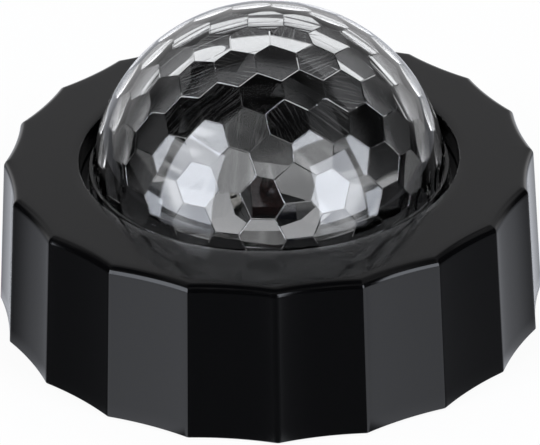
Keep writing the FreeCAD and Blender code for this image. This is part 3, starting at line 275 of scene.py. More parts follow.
def cell_wrap():
    """A plain shrink sleeve with a band of a second colour, and bare metal ends."""
    finish = Finish("cell_sleeve", Coat_Weight=0.3, Coat_Roughness=0.25)
    x, y, z = finish.parts_of(finish.place)
    flip = 1.0 - 2.0 * finish.window(y, -0.0072, 0.0072, 0.0001)
    band = finish.fade(x * flip, -0.0105, -0.0103)
    pitch = 0.0145
    across = y - pitch * finish.math("ROUND", y / pitch)
    rise = z - 0.0099
    radius = finish.math("SQRT", across * across + rise * rise)
    bare = finish.fade(radius, 0.0060, 0.0061, 1.0, 0.0)
    sleeve = finish.blend(band, rgb(0.30, 0.12, 0.035), rgb(0.012, 0.013, 0.016))
    steel = finish.blend(finish.noise(500.0), rgb(0.50, 0.49, 0.46), rgb(0.62, 0.61, 0.58))
    finish.feed("Base Color", finish.blend(bare, sleeve, steel))
    finish.feed("Metallic", bare)
    finish.feed("Roughness", 0.32 + (finish.noise(260.0, 3.0) - 0.5) * 0.12)
    finish.emboss(finish.noise(200.0, 2.0, 0.5, (0.2, 1.0, 1.0)), 0.00003)
    return finish.material


def lead_jacket():
    """Soft lead jackets, red where the pole mark is one and black where it is zero."""
    finish = Finish("lead_jackets")
    pole = finish.add("ShaderNodeAttribute", {"attribute_name": "pole"})["Fac"]
    cloud = finish.noise(300.0, 3.0)
    red = finish.blend(cloud, rgb(0.42, 0.02, 0.015), rgb(0.55, 0.035, 0.025))
    black = finish.blend(cloud, rgb(0.015, 0.015, 0.015), rgb(0.028, 0.028, 0.028))
    finish.feed("Base Color", finish.blend(pole, black, red))
    finish.feed("Roughness", 0.38 + cloud * 0.08)
    finish.emboss(finish.noise(900.0), 0.00002)
    return finish.material


def motor_metal():
    """A drawn steel can below, and a warmer cast gearbox with its ears above it."""
    finish = Finish("gearmotor_metal", Metallic=1.0)
    x, y, z = finish.parts_of(finish.place)
    gearbox = finish.fade(z, 0.01285, 0.01295)
    lines = finish.noise(700.0, 3.0, 0.6, (1, 1, 0.03))
    can = finish.blend(finish.noise(150.0), rgb(0.52, 0.52, 0.52), rgb(0.64, 0.64, 0.63))
    cast = finish.blend(finish.noise(400.0, 4.0), rgb(0.50, 0.40, 0.22), rgb(0.62, 0.52, 0.32))
    finish.feed("Base Color", finish.blend(gearbox, can, cast))
    finish.feed("Roughness", 0.22 + gearbox * 0.14 + (lines - 0.5) * 0.12)
    finish.emboss(lines, 0.00001)
    return finish.material


DRUM_GLOSS = drum_gloss()
DOME_CLEAR = dome_clear()
DISH_CHROME = dish_chrome()
SATIN_BLACK = plastic("satin_black_moulding", rgb(0.012, 0.012, 0.013), rgb(0.018, 0.018, 0.02),
                      0.38, 2400.0, 0.00002)
DECK_BLACK = plastic("deck_black", rgb(0.002, 0.002, 0.0025), rgb(0.004, 0.004, 0.005),
                     0.22, 1500.0, 0.000004, Specular_IOR_Level=0.18)
RUBBER = plastic("foot_rubber", rgb(0.018, 0.018, 0.018), rgb(0.032, 0.032, 0.031), 0.72, 1800.0,
                 0.00005, 0.12)
NYLON = plastic("roller_nylon", rgb(0.66, 0.65, 0.60), rgb(0.76, 0.75, 0.71), 0.42, 1300.0,
                0.00002, Subsurface_Weight=0.15, Subsurface_Scale=0.001)
HEADER_WHITE = plastic("header_white_plastic", rgb(0.62, 0.60, 0.54), rgb(0.74, 0.72, 0.66), 0.4,
                       1500.0, 0.00002)
CHIP_BLACK = plastic("chip_resin", rgb(0.014, 0.014, 0.015), rgb(0.026, 0.026, 0.027), 0.55,
                     3200.0, 0.00002)
NICKEL = metal("nickel_plate", rgb(0.55, 0.53, 0.48), rgb(0.68, 0.66, 0.62), 0.24, (1, 1, 0.03))
BLACK_STEEL = metal("blackened_steel", rgb(0.045, 0.045, 0.048), rgb(0.09, 0.09, 0.095), 0.34,
                    (1, 1, 1))
ALUMINIUM = metal("spun_aluminium", rgb(0.66, 0.67, 0.69), rgb(0.78, 0.79, 0.80), 0.3,
                  (1, 0.04, 1))
BOARD_BLACK = board_mask("led_board_mask", rgb(0.012, 0.012, 0.013), rgb(0.02, 0.02, 0.02))
BOARD_GREEN = board_mask("green_board", rgb(0.012, 0.10, 0.04), rgb(0.03, 0.19, 0.08))
CELL_WRAP = cell_wrap()
LED_RED = led_finish("led_red_lens", rgb(0.035, 0.014, 0.013), rgb(0.05, 0.018, 0.016))
LED_GREEN = led_finish("led_green_lens", rgb(0.014, 0.028, 0.016), rgb(0.018, 0.040, 0.021))
LED_BLUE = led_finish("led_blue_lens", rgb(0.014, 0.017, 0.036), rgb(0.018, 0.022, 0.05))
LEADS = lead_jacket()
MOTOR_METAL = motor_metal()


# Pieces from the frame's own shapes

CREASE = 32.0


def shade(mesh, crease):
    """Smooth shading that stops at every edge sharper than the crease."""
    mesh.polygons.foreach_set("use_smooth", [True] * len(mesh.polygons))
    mesh.set_sharp_from_angle(angle=math.radians(crease))
    mesh.update()


def placed(name, data):
    """A new object of the scene."""
    item = bpy.data.objects.new(name, data)
    bpy.context.scene.collection.objects.link(item)
    return item


def settle(name, mesh, finish, nodes, home=None):
    """Adds a finished mesh as a piece that stands for its nodes and moves with their body. A piece
    that stands for none has a home node, whose body it takes."""
    piece = placed(name, mesh)
    mesh.materials.clear()
    mesh.materials.append(finish)
    home = home or nodes[0]
    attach(piece, BODY_OF[home])
    if nodes:
        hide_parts(*nodes)
    return piece


def applied(piece, kind, **settings):
    """Adds a modifier, keeps its result as the piece's mesh, and removes it."""
    modifier = piece.modifiers.new(kind.lower(), kind)
    for name, value in settings.items():
        setattr(modifier, name, value)
    mesh = flat_mesh(piece)
    piece.modifiers.clear()
    piece.data = mesh
    return piece


def flat_mesh(piece):
    """A plain mesh of a piece with its modifiers' work in it."""
    graph = bpy.context.evaluated_depsgraph_get()
    graph.update()
    return bpy.data.meshes.new_from_object(piece.evaluated_get(graph), depsgraph=graph)


def merged(node, name):
    """A mesh with a node's shape, its loose triangles joined and its flats made whole."""
    shape = bmesh.new()
    shape.from_mesh(frame["nodes"][node].data)
    for layer in list(shape.loops.layers.uv):
        shape.loops.layers.uv.remove(layer)
    bmesh.ops.remove_doubles(shape, verts=shape.verts, dist=0.000002)
    bmesh.ops.dissolve_limit(shape, angle_limit=math.radians(0.6), verts=shape.verts,
                             edges=shape.edges)
    mesh = bpy.data.meshes.new(name)
    shape.to_mesh(mesh)
    shape.free()
    if "custom_normal" in mesh.attributes:
        mesh.attributes.remove(mesh.attributes["custom_normal"])
    return mesh


def eased(node, finish, edge):
    """A node's own shape with its edges rounded over, as a moulding or a turned piece has them."""
    name = "shown_" + node
    piece = settle(name, merged(node, name), finish, [node])
    if edge:
        applied(piece, "BEVEL", width=edge * MM, segments=2, limit_method="ANGLE",
                angle_limit=math.radians(CREASE), use_clamp_overlap=True)
    shade(piece.data, CREASE)
    return applied(piece, "WEIGHTED_NORMAL", keep_sharp=True, weight=100)


def loose_parts(mesh):
    """The separate parts of a mesh, each a set of vertex numbers."""
    near = [[] for vert in mesh.vertices]
    for edge in mesh.edges:
        first, second = edge.vertices
        near[first].append(second)
        near[second].append(first)
    left = set(range(len(near)))
    parts = []
    while left:
        todo = [left.pop()]
        part = set(todo)
        while todo:
            found = [other for other in near[todo.pop()] if other in left]
            left.difference_update(found)
            part.update(found)
            todo += found
        parts.append(part)
    return sorted(parts, key=min)


def box_of(mesh, part):
    """The low and high corners of one part of a mesh."""
    places = [mesh.vertices[index].co for index in part]
    return [Vector([pick(place[axis] for place in places) for axis in range(3)])
            for pick in (min, max)]


def two_leads(node):
    """A pair of leads. The first is marked with one and the second with zero, for their colours."""
    piece = eased(node, LEADS, 0.0)
    mark = piece.data.attributes.new("pole", "FLOAT", "POINT")
    for number, part in enumerate(loose_parts(piece.data)):
        for index in part:
            mark.data[index].value = 1.0 - number % 2
    return piece


# The drum, by its rule

DRUM_SIDES = 20
HALF_SIDE = math.pi / DRUM_SIDES
RIDGE_REACH = 0.35 * MM
RIDGE_EASE = 0.05 * MM


def size_inputs(tree, sizes):
    """Declares a tree's sizes as named inputs and gives them back as values."""
    graph = Graph(tree)
    for name, value in sizes.items():
        kind = "NodeSocketInt" if isinstance(value, int) else "NodeSocketFloat"
        tree.interface.new_socket(name, in_out="INPUT", socket_type=kind).default_value = value
    tree.interface.new_socket("Geometry", in_out="OUTPUT", socket_type="NodeSocketGeometry")
    inputs = graph.add("NodeGroupInput")
    return graph, {name: inputs[name] for name in sizes}


def grown(name, tree, sizes, shape=None):
    """Runs a tree with its sizes, on a shape or on nothing, and keeps the result as a mesh."""
    piece = placed(name + "_seed", shape or bpy.data.meshes.new(name + "_seed"))
    modifier = piece.modifiers.new(name, "NODES")
    modifier.node_group = tree
    for item in tree.interface.items_tree:
        if item.in_out == "INPUT" and item.name in sizes:
            modifier[item.identifier] = sizes[item.name]
    mesh = flat_mesh(piece)
    mesh.name = name
    bpy.data.objects.remove(piece)
    return mesh


def last_step(graph, geometry, finish):
    """Ends a tree: instances made real, seams merged, and the finish set."""
    real = graph.add("GeometryNodeRealizeInstances", {}, {"Geometry": geometry})["Geometry"]
    joined = graph.add("GeometryNodeMergeByDistance", {}, {
        "Geometry": real, "Distance": 0.000002})["Geometry"]
    dressed = graph.add("GeometryNodeSetMaterial", {}, {
        "Geometry": joined, "Material": finish})["Geometry"]
    graph.add("NodeGroupOutput", {}, {"Geometry": dressed})


def side_band(graph, columns, rows, rule):
    """One side's strip of the drum's skin. The rule gives, for a share of the way from 0 to 1, the
    corner radius, the height, the dip of the flute and how far the outline is fluted, not round.
    The ridge between two flutes is lowered a little close to its crest."""
    grid = graph.add("GeometryNodeMeshGrid", {}, {
        "Size X": 2.0, "Size Y": 1.0, "Vertices X": columns + 1, "Vertices Y": rows + 1})["Mesh"]
    across, up, level = graph.parts_of(graph.add("GeometryNodeInputPosition")["Position"])
    radius, height, dip, fluted = rule(up + 0.5)
    reach = abs(across)
    spread = (1.0 - reach) * (1.0 - reach)
    sign = graph.math("SIGN", across)
    share = sign * (1.0 - spread)
    half_chord = radius * math.sin(HALF_SIDE)
    near = graph.math("MAXIMUM", 1.0 - spread * half_chord / RIDGE_REACH, 0.0)
    softened = near * near * RIDGE_EASE
    out = radius * math.cos(HALF_SIDE) - dip * (1.0 - share * share)
    out = out - softened * graph.math("MINIMUM", dip * 10000.0, 1.0)
    turn = share * HALF_SIDE
    x = out * fluted + radius * graph.math("COSINE", turn) * (1.0 - fluted)
    y = half_chord * share * fluted + radius * graph.math("SINE", turn) * (1.0 - fluted)
    return graph.add("GeometryNodeSetPosition", {}, {
        "Geometry": grid, "Position": graph.vector(x, y, height)})["Geometry"]


def drum_tree(sizes):
    """The drum's skin, one fluted side repeated round the axis, and its screw posts."""
    tree = bpy.data.node_groups.new("fluted_drum", "GeometryNodeTree")
    graph, size = size_inputs(tree, sizes)
    share = 1.0 / math.cos(HALF_SIDE)
    top = size["Top"]
    edge = size["Edge"]
    base = size["Base"]
    under = top - size["Top thickness"]
    top_corner = size["Top corner"]
    flat_corner = top_corner - edge * share
    opening = size["Opening"]
    lip = size["Lip"]
    collar = size["Collar"]
    collar_foot = size["Collar foot"]
    room_top = size["Room top corner"]
    room_foot = size["Room foot corner"]
    dip = size["Flute"]
    foot_edge = size["Foot edge"]

    def between(first, second):
        return lambda part: first + (second - first) * part

    def straight(corners, heights, dips, flutes):
        """A rule whose four measures each go straight from the first value to the second."""
        return lambda part: tuple(between(*pair)(part) for pair in (corners, heights, dips, flutes))

    def top_round(part):
        turn = part * (math.pi / 2)
        return (top_corner - edge * (1.0 - graph.math("COSINE", turn)) * share,
                top - edge * (1.0 - graph.math("SINE", turn)), dip + 0.0 * part, 1.0 + 0.0 * part)

    def lip_round(part):
        turn = part * (math.pi / 2)
        return (opening + lip * (1.0 - graph.math("SINE", turn)),
                top - lip * (1.0 - graph.math("COSINE", turn)), 0.0 * part, 0.0 * part)

    def foot_round(part):
        turn = part * (math.pi / 2)
        return (size["Foot corner"] - foot_edge * (1.0 - graph.math("SINE", turn)),
                base + foot_edge * (1.0 - graph.math("COSINE", turn)), dip + 0.0 * part,
                1.0 + 0.0 * part)

    bands = [
        (3, foot_round),
        (10, straight((size["Foot corner"], top_corner), (base + foot_edge, top - edge),
                      (dip, dip), (1.0, 1.0))),
        (8, top_round),
        (7, straight((flat_corner, opening + lip), (top, top), (dip, 0.0), (1.0, 0.0))),
        (3, lip_round),
        (4, straight((opening, opening), (top - lip, collar_foot), (0.0, 0.0), (0.0, 0.0))),
        (1, straight((opening, collar), (collar_foot, collar_foot), (0.0, 0.0), (0.0, 0.0))),
        (2, straight((collar, collar), (collar_foot, under), (0.0, 0.0), (0.0, 0.0))),
        (3, straight((collar, room_top), (under, under), (0.0, 0.0), (0.0, 1.0))),
        (4, straight((room_top, room_foot), (under, base), (0.0, 0.0), (1.0, 1.0))),
        (1, straight((room_foot, size["Foot corner"] - foot_edge), (base, base), (0.0, dip),
                     (1.0, 1.0))),
    ]
    strips = [side_band(graph, 20, rows, rule) for rows, rule in bands]
    wedge = graph.add("GeometryNodeJoinGeometry", {}, {"Geometry": strips})["Geometry"]
    points = graph.add("GeometryNodeMeshLine", {}, {
        "Count": size["Sides"], "Offset": (0.0, 0.0, 0.0)})["Mesh"]
    index = graph.add("GeometryNodeInputIndex")["Index"]
    turn = (index + 0.5) * (2.0 * math.pi) / size["Sides"]
    around = graph.add("GeometryNodeInstanceOnPoints", {}, {
        "Points": points, "Instance": wedge, "Rotation": graph.vector(0.0, 0.0, turn)})["Instances"]
    bosses = [ring_of_bosses(graph, size, 0.5, size["Base boss foot"], under),
              ring_of_bosses(graph, size, 0.0, size["Chassis boss foot"], under)]
    everything = graph.add("GeometryNodeJoinGeometry", {}, {"Geometry": [around] + bosses})
    last_step(graph, everything["Geometry"], DRUM_GLOSS)
    return tree


def ring_of_bosses(graph, size, start, foot, under):
    """Four hollow screw posts that stand from the underside of the top down to a height."""
    tall = under - foot + 0.5 * MM
    wall = size["Boss"] - size["Screw hole"]
    middle = (size["Boss"] + size["Screw hole"]) / 2.0
    ring = graph.add("GeometryNodeCurvePrimitiveCircle", {}, {
        "Resolution": 24, "Radius": middle})["Curve"]
    section = graph.add("GeometryNodeCurvePrimitiveQuadrilateral", {}, {
        "Width": wall, "Height": tall})["Curve"]
    post = graph.add("GeometryNodeCurveToMesh", {}, {"Curve": ring, "Profile Curve": section})["Mesh"]
    points = graph.add("GeometryNodeMeshLine", {}, {"Count": 4, "Offset": (0.0, 0.0, 0.0)})["Mesh"]
    turn = (graph.add("GeometryNodeInputIndex")["Index"] + start) * (math.pi / 2)
    circle = size["Boss circle"]
    moved = graph.add("GeometryNodeSetPosition", {}, {"Geometry": points, "Offset": graph.vector(
        circle * graph.math("COSINE", turn), circle * graph.math("SINE", turn),
        foot + tall / 2.0)})["Geometry"]
    return graph.add("GeometryNodeInstanceOnPoints", {}, {"Points": moved, "Instance": post})[
        "Instances"]


def outward(shape, mesh):
    """Turns a finished shape's faces outwards and writes it into a mesh."""
    bmesh.ops.recalc_face_normals(shape, faces=shape.faces)
    shape.to_mesh(mesh)
    shape.free()
    return mesh


def make_drum():
    """The drum with its sizes, as one closed moulding."""
    sizes = {
        "Sides": DRUM_SIDES, "Base": 0.5 * MM, "Top": 38.4 * MM, "Top thickness": 2.6 * MM,
        "Edge": 2.0 * MM, "Foot edge": 0.35 * MM, "Foot corner": 65.006 * MM,
        "Top corner": 62.206 * MM, "Flute": 0.7 * MM, "Opening": 44.5 * MM, "Lip": 0.4 * MM,
        "Collar": 46.1 * MM, "Collar foot": 33.0 * MM, "Room top corner": 59.27 * MM,
        "Room foot corner": 61.99 * MM, "Boss": 2.9 * MM, "Screw hole": 1.4 * MM,
        "Boss circle": 55.4 * MM, "Base boss foot": 3.0 * MM, "Chassis boss foot": 20.2 * MM,
    }
    mesh = grown("fluted_drum", drum_tree(sizes), sizes)
    shape = bmesh.new()
    shape.from_mesh(mesh)
    bmesh.ops.remove_doubles(shape, verts=shape.verts, dist=0.000002)
    outward(shape, mesh)
    shade(mesh, 40.0)
    return settle("fluted_drum", mesh, DRUM_GLOSS, ["drum_housing"])


# The dome, smooth outside and faceted inside

DOME_CENTRE = 31.7 * MM
DOME_RADIUS = 41.84 * MM
FACET_CENTRE = Vector((0.0, 0.0, 32.69 * MM))
FACET_PLANE = 39.75 * MM
LEAST_FACET = 1.5 * MM * MM
RIB_WIDTH = 0.15 * MM
RIB_RISE = 0.045 * MM
SKIRT_TOP = 36.5 * MM
SEAT_TOP = 33.0 * MM


def facet_middles():
    """Unit vectors through the middles of the dome's facets, for the whole ball."""
    rise = math.atan(0.5)
    corners = [Vector((0.0, 0.0, 1.0))]
    for sign in (1, -1):
        for step in range(5):
            turn = 2 * math.pi * (step + (0 if sign > 0 else 0.5)) / 5
            corners.append(Vector((math.cos(rise) * math.cos(turn), math.cos(rise) * math.sin(turn),
                                   math.sin(rise) * sign)))
    corners.append(Vector((0.0, 0.0, -1.0)))
    faces = []
    for step in range(5):
        first, second = 1 + step, 1 + (step + 1) % 5
        third, fourth = 6 + step, 6 + (step + 1) % 5
        faces += [(0, first, second), (first, third, second), (second, third, fourth),
                  (11, fourth, third)]
    along, across = 4, 2
    parts = along * along + along * across + across * across
    spread = math.atan(2.0)
    found = []
    for face in faces:
        first, second, third = [corners[index] for index in face]
        for column in range(-across, along + across + 1):
            for line in range(along + across + 1):
                share_b = (column * (along + across) + line * across) / parts
                share_c = (line * along - column * across) / parts
                share_a = 1 - share_b - share_c
                if min(share_a, share_b, share_c) < -1e-6:
                    continue
                point = (first * math.sin(share_a * spread) + second * math.sin(share_b * spread)
                         + third * math.sin(share_c * spread)).normalized()
                if all((point - other).length > 1e-3 for other in found):
                    found.append(point)
    aim = (Matrix.Rotation(math.radians(-81.46), 3, "Z")
           @ Matrix.Rotation(math.radians(90.0 - 25.83), 3, "Y")
           @ Matrix.Rotation(math.radians(23.44), 3, "Z"))
    return [aim @ point for point in found]


def facet_corners(middles):
    """Where three neighbouring facets meet, for the whole ball."""
    near = 1.75 * math.sqrt(4 * math.pi / len(middles))
    corners = []
    for a, first in enumerate(middles):
        close = [n for n, other in enumerate(middles) if n > a and (other - first).length < near]
        for place, b in enumerate(close):
            for c in close[place + 1:]:
                second, third = middles[b], middles[c]
                volume = first.dot(second.cross(third))
                if abs(volume) < 1e-6:
                    continue
                point = (second.cross(third) + third.cross(first) + first.cross(second)) / volume
                if all(point.dot(middle) < 1.0 + 1e-6 for middle in middles):
                    corners.append(point * FACET_PLANE)
    return corners


def ring_of(shape, radius, height, count):
    """A closed ring of vertices."""
    return [shape.verts.new((radius * math.cos(2 * math.pi * n / count),
                             radius * math.sin(2 * math.pi * n / count), height))
            for n in range(count)]


def loop_edges(shape, ring):
    """The edges round a ring, made where there are none."""
    return [shape.edges.get((first, second)) or shape.edges.new((first, second))
            for first, second in zip(ring, ring[1:] + ring[:1])]


def join_rings(shape, rings):
    """Quads between each ring and the next. All have the same count."""
    count = len(rings[0])
    for first, second in zip(rings, rings[1:]):
        for n in range(count):
            after = (n + 1) % count
            shape.faces.new((first[n], first[after], second[after], second[n]))


def capped(shape, rings):
    """Quads between the rings, and a face at each end."""
    join_rings(shape, rings)
    shape.faces.new(rings[0])
    shape.faces.new(rings[-1])


def make_dome():
    """A smooth ball outside, flat facets with fine rounded edges inside, a skirt and a flange."""
    shape = bmesh.new()
    for corner in facet_corners(facet_middles()):
        shape.verts.new(corner + FACET_CENTRE)
    bmesh.ops.remove_doubles(shape, verts=shape.verts, dist=0.00001)
    bmesh.ops.convex_hull(shape, input=shape.verts)
    bmesh.ops.dissolve_limit(shape, angle_limit=math.radians(1.0), verts=shape.verts,
                             edges=shape.edges)
    bmesh.ops.bisect_plane(shape, geom=shape.verts[:] + shape.edges[:] + shape.faces[:],
                           plane_co=(0, 0, SEAT_TOP), plane_no=(0, 0, 1), clear_inner=True)
    seams = [edge for edge in shape.edges if len(edge.link_faces) == 2]
    bmesh.ops.bevel(shape, geom=seams, offset=RIB_WIDTH, segments=2, affect="EDGES",
                    profile=0.5, clamp_overlap=True)
    # A fresh copy gives what is added next the same order in every run.
    bevelled = shape
    shape = bevelled.copy()
    bevelled.free()
    facets = {face for face in shape.faces if face.calc_area() > LEAST_FACET}
    ribs = [vert for vert in shape.verts if facets.isdisjoint(vert.link_faces)]
    for vert in ribs:
        vert.co = FACET_CENTRE + (vert.co - FACET_CENTRE) * (1.0 - RIB_RISE / FACET_PLANE)
    rim = [edge for edge in shape.edges if len(edge.link_faces) == 1]
    count = 256
    rings = [ring_of(shape, 39.3 * MM, 32.3 * MM, count)]
    bmesh.ops.bridge_loops(shape, edges=rim + loop_edges(shape, rings[0]))
    skirt = [(39.3, 28.9), (46.45, 28.9), (46.6, 29.05), (46.6, 30.75), (46.45, 30.9),
             (42.3, 30.9), (42.3, 36.35), (42.15, 36.5)]
    rings += [ring_of(shape, radius * MM, height * MM, count) for radius, height in skirt]
    rows = 72
    start = math.asin((SKIRT_TOP - DOME_CENTRE) / DOME_RADIUS)
    for row in range(rows):
        turn = start + (math.pi / 2 - start) * row / rows
        rings.append(ring_of(shape, DOME_RADIUS * math.cos(turn),
                             DOME_CENTRE + DOME_RADIUS * math.sin(turn), count))
    join_rings(shape, rings)
    last = rings[-1]
    crown = shape.verts.new((0.0, 0.0, DOME_CENTRE + DOME_RADIUS))
    for n in range(count):
        shape.faces.new((last[n], last[(n + 1) % count], crown))
    mesh = outward(shape, bpy.data.meshes.new("faceted_clear_dome"))
    shade(mesh, 2.5)
    return settle("faceted_clear_dome", mesh, DOME_CLEAR, ["faceted_dome"])


# The dish

def make_dish():
    """The chrome dish of small flat mirrors, each tilted a little its own way, with a lip."""
    bore, rim, low, depth, wall = 10.0, 28.4, 22.5, 6.2, 1.2
    steps, columns = 4, 16

    def climb(share):
        return depth * (0.12 * share + 0.88 * share ** 2.2)

    inside = [(bore + (rim - bore) * n / steps, low + wall + climb(n / steps))
              for n in range(steps + 1)]
    under = [(bore + (rim - bore) * n / steps, low + climb(n / steps))
             for n in range(steps, -1, -1)]
    lip = [(31.2, 29.9), (31.35, 29.8), (31.4, 29.65), (31.4, 28.7)]
    shape = bmesh.new()
    rings = [ring_of(shape, radius * MM, height * MM, columns)
             for radius, height in inside + lip + under]
    join_rings(shape, rings + rings[:1])
    for number in range(1, steps):
        for column in range(columns):
            rings[number][column].co.z += 0.25 * MM * math.sin(2.6 * column + 1.9 * number)
    mesh = outward(shape, bpy.data.meshes.new("chrome_dish"))
    shade(mesh, 1.0)
    return settle("chrome_dish", mesh, DISH_CHROME, ["reflector"])


# Screws and small ribs, repeated by rule

def recessed_screw(name, radius, head, rise, length):
    """A pan-head screw with its seat at zero and its head up, and a cross recess in the head."""
    outline = [(radius * 0.3, -length), (radius * 0.55, -length), (radius, -length + radius * 0.8),
               (radius, -length * 0.5), (radius, 0.0), (head - 0.08 * MM, 0.0),
               (head, 0.08 * MM), (head, rise * 0.45), (head * 0.93, rise * 0.72),
               (head * 0.78, rise * 0.9), (head * 0.55, rise), (head * 0.3, rise)]
    shape = bmesh.new()
    capped(shape, [ring_of(shape, wide, height, 24) for wide, height in outline])
    piece = placed(name, outward(shape, bpy.data.meshes.new(name)))
    arm, blade, depth = head * 0.62, head * 0.15, rise * 0.62
    cross = [(arm, -blade), (arm, blade), (blade, blade), (blade, arm), (-blade, arm),
             (-blade, blade), (-arm, blade), (-arm, -blade), (-blade, -blade), (-blade, -arm),
             (blade, -arm), (blade, -blade)]
    cutter = bmesh.new()
    capped(cutter, [[cutter.verts.new((x * wide, y * wide, height)) for x, y in cross]
                    for wide, height in ((0.8, rise - depth), (1.05, rise * 1.2))])
    tool = placed(name + "_cross", outward(cutter, bpy.data.meshes.new(name + "_cross")))
    applied(piece, "BOOLEAN", operation="DIFFERENCE", object=tool)
    mesh = piece.data
    for item in (tool, piece):
        bpy.data.objects.remove(item)
    return mesh


def ring_tree(sizes, finish):
    """Stands copies of the given shape on a circle, each turned a little further than the last."""
    tree = bpy.data.node_groups.new("ring_of_copies", "GeometryNodeTree")
    tree.interface.new_socket("Shape", in_out="INPUT", socket_type="NodeSocketGeometry")
    graph, size = size_inputs(tree, sizes)
    shape = Value(graph, size["Count"].socket.node.outputs["Shape"])
    points = graph.add("GeometryNodeMeshLine", {}, {
        "Count": size["Count"], "Offset": (0.0, 0.0, 0.0)})["Mesh"]
    index = graph.add("GeometryNodeInputIndex")["Index"]
    turn = size["Start"] + index * (2.0 * math.pi) / size["Count"]
    placed = graph.add("GeometryNodeSetPosition", {}, {"Geometry": points, "Offset": graph.vector(
        size["Middle X"] + size["Circle"] * graph.math("COSINE", turn),
        size["Middle Y"] + size["Circle"] * graph.math("SINE", turn), size["Seat"])})["Geometry"]
    copies = graph.add("GeometryNodeInstanceOnPoints", {}, {
        "Points": placed, "Instance": shape, "Rotation": graph.vector(
            size["Flip"] * math.pi, 0.0, index * 1.9 + size["Start"])})["Instances"]
    last_step(graph, copies, finish)
    return tree


def make_screws(node, finish):
    """The screws of one node, at the places and with the sizes that its own shape has."""
    own = merged(node, node + "_places")
    parts = loose_parts(own)
    boxes = [box_of(own, part) for part in parts]
    spots = [(low + high) / 2.0 for low, high in boxes]
    middle = sum(spots, Vector()) / len(spots)
    first = min(spots, key=lambda spot: math.atan2(spot.y - middle.y, spot.x - middle.x))
    low, high = boxes[0]
    head = (high.x - low.x) / 2.0
    reach = {index: (own.vertices[index].co - spots[0]).xy.length for index in parts[0]}
    wide = [own.vertices[index].co.z for index in parts[0] if reach[index] > head * 0.9]
    flip = 1 if min(wide) - low.z < high.z - max(wide) else 0
    rise = max(wide) - min(wide)
    radius = max(reach[index] for index in parts[0] if reach[index] < head * 0.8)
    sizes = {
        "Count": len(parts), "Start": math.atan2(first.y - middle.y, first.x - middle.x),
        "Middle X": middle.x, "Middle Y": middle.y, "Circle": (first - middle).xy.length,
        "Seat": max(wide) if flip else min(wide), "Flip": flip}
    single = recessed_screw(node + "_single", radius, head, rise, high.z - low.z - rise)
    mesh = grown(node + "_repeated", ring_tree(sizes, finish), sizes, single)
    shade(mesh, 35.0)
    return settle("recessed_" + node, mesh, finish, [node])


def make_thumb_ribs():
    """Three low ribs in the thumb hollow of the battery door."""
    shape = bmesh.new()
    for number, reach in enumerate((2.6, 3.6, 2.6)):
        x = (15.15 + 1.9 * (number - 1)) * MM
        outline = [(-0.35, 1.86), (-0.35, 1.6), (-0.18, 1.42), (0.18, 1.42), (0.35, 1.6),
                   (0.35, 1.86)]
        ends = ((-reach, 0.4), (-reach + 0.3, 1.0), (reach - 0.3, 1.0), (reach, 0.4))
        capped(shape, [[shape.verts.new((x + across * wide * MM, y * MM, height * MM))
                        for across, height in outline] for y, wide in ends])
    mesh = outward(shape, bpy.data.meshes.new("door_thumb_ribs"))
    shade(mesh, 50.0)
    return settle("door_thumb_ribs", mesh, SATIN_BLACK, [], "battery_door")


# The set: floor, sky and lamps

LAMP_EYE = 0.045
LAMP_DISTANCE = 1.2
PANEL_TINT = (0.94, 0.985, 1.08)

# Each lamp's extent is the bearings of its sides, from the camera's side, and the elevations of
# its edges, in degrees.
LEFT_PANEL = (-73.0, -37.0, -4.0, 39.5)
RIGHT_PANEL = (30.0, 60.5, -4.0, 33.0)
LEFT_FILL = (-64.0, -40.0, 20.0, 50.0)
RIGHT_FILL = (40.0, 64.0, 20.0, 50.0)


def make_floor():
    """A pale floor that keeps the light's shadow and is white to the eye and through the dome.
    Gloss sees the sky's table in its place."""
    mesh = bpy.data.meshes.new("pale_floor")
    reach = 3.0
    mesh.from_pydata([(-reach, -reach, 0), (reach, -reach, 0), (reach, reach, 0),
                      (-reach, reach, 0)], [], [(0, 1, 2, 3)])
    material = bpy.data.materials.new("pale_floor")
    material.use_nodes = True
    graph = Graph(material.node_tree)
    graph.tree.nodes.clear()
    ray = graph.add("ShaderNodeLightPath")
    place = graph.add("ShaderNodeTexCoord")["Object"]
    cloud = graph.add("ShaderNodeTexNoise", {}, {"Vector": place, "Scale": 30.0})[0]
    paper = graph.add("ShaderNodeBsdfDiffuse", {}, {
        "Color": graph.blend(cloud, rgb(0.93, 0.93, 0.93), rgb(0.96, 0.96, 0.96))})["BSDF"]
    white = graph.add("ShaderNodeEmission", {}, {"Color": rgb(1, 1, 1), "Strength": 1.0})["Emission"]
    clear = graph.add("ShaderNodeBsdfTransparent")["BSDF"]
    seen = graph.math("MAXIMUM", ray["Is Camera Ray"], ray["Is Transmission Ray"])
    shown = graph.add("ShaderNodeMixShader", {}, {0: seen * 0.92, 1: paper, 2: white})["Shader"]
    under = graph.add("ShaderNodeNewGeometry")["Backfacing"]
    through = graph.math("MAXIMUM", ray["Is Glossy Ray"], under)
    surface = graph.add("ShaderNodeMixShader", {}, {0: through, 1: shown, 2: clear})["Shader"]
    graph.add("ShaderNodeOutputMaterial", {}, {"Surface": surface})
    mesh.materials.append(material)
    placed("pale_floor", mesh)


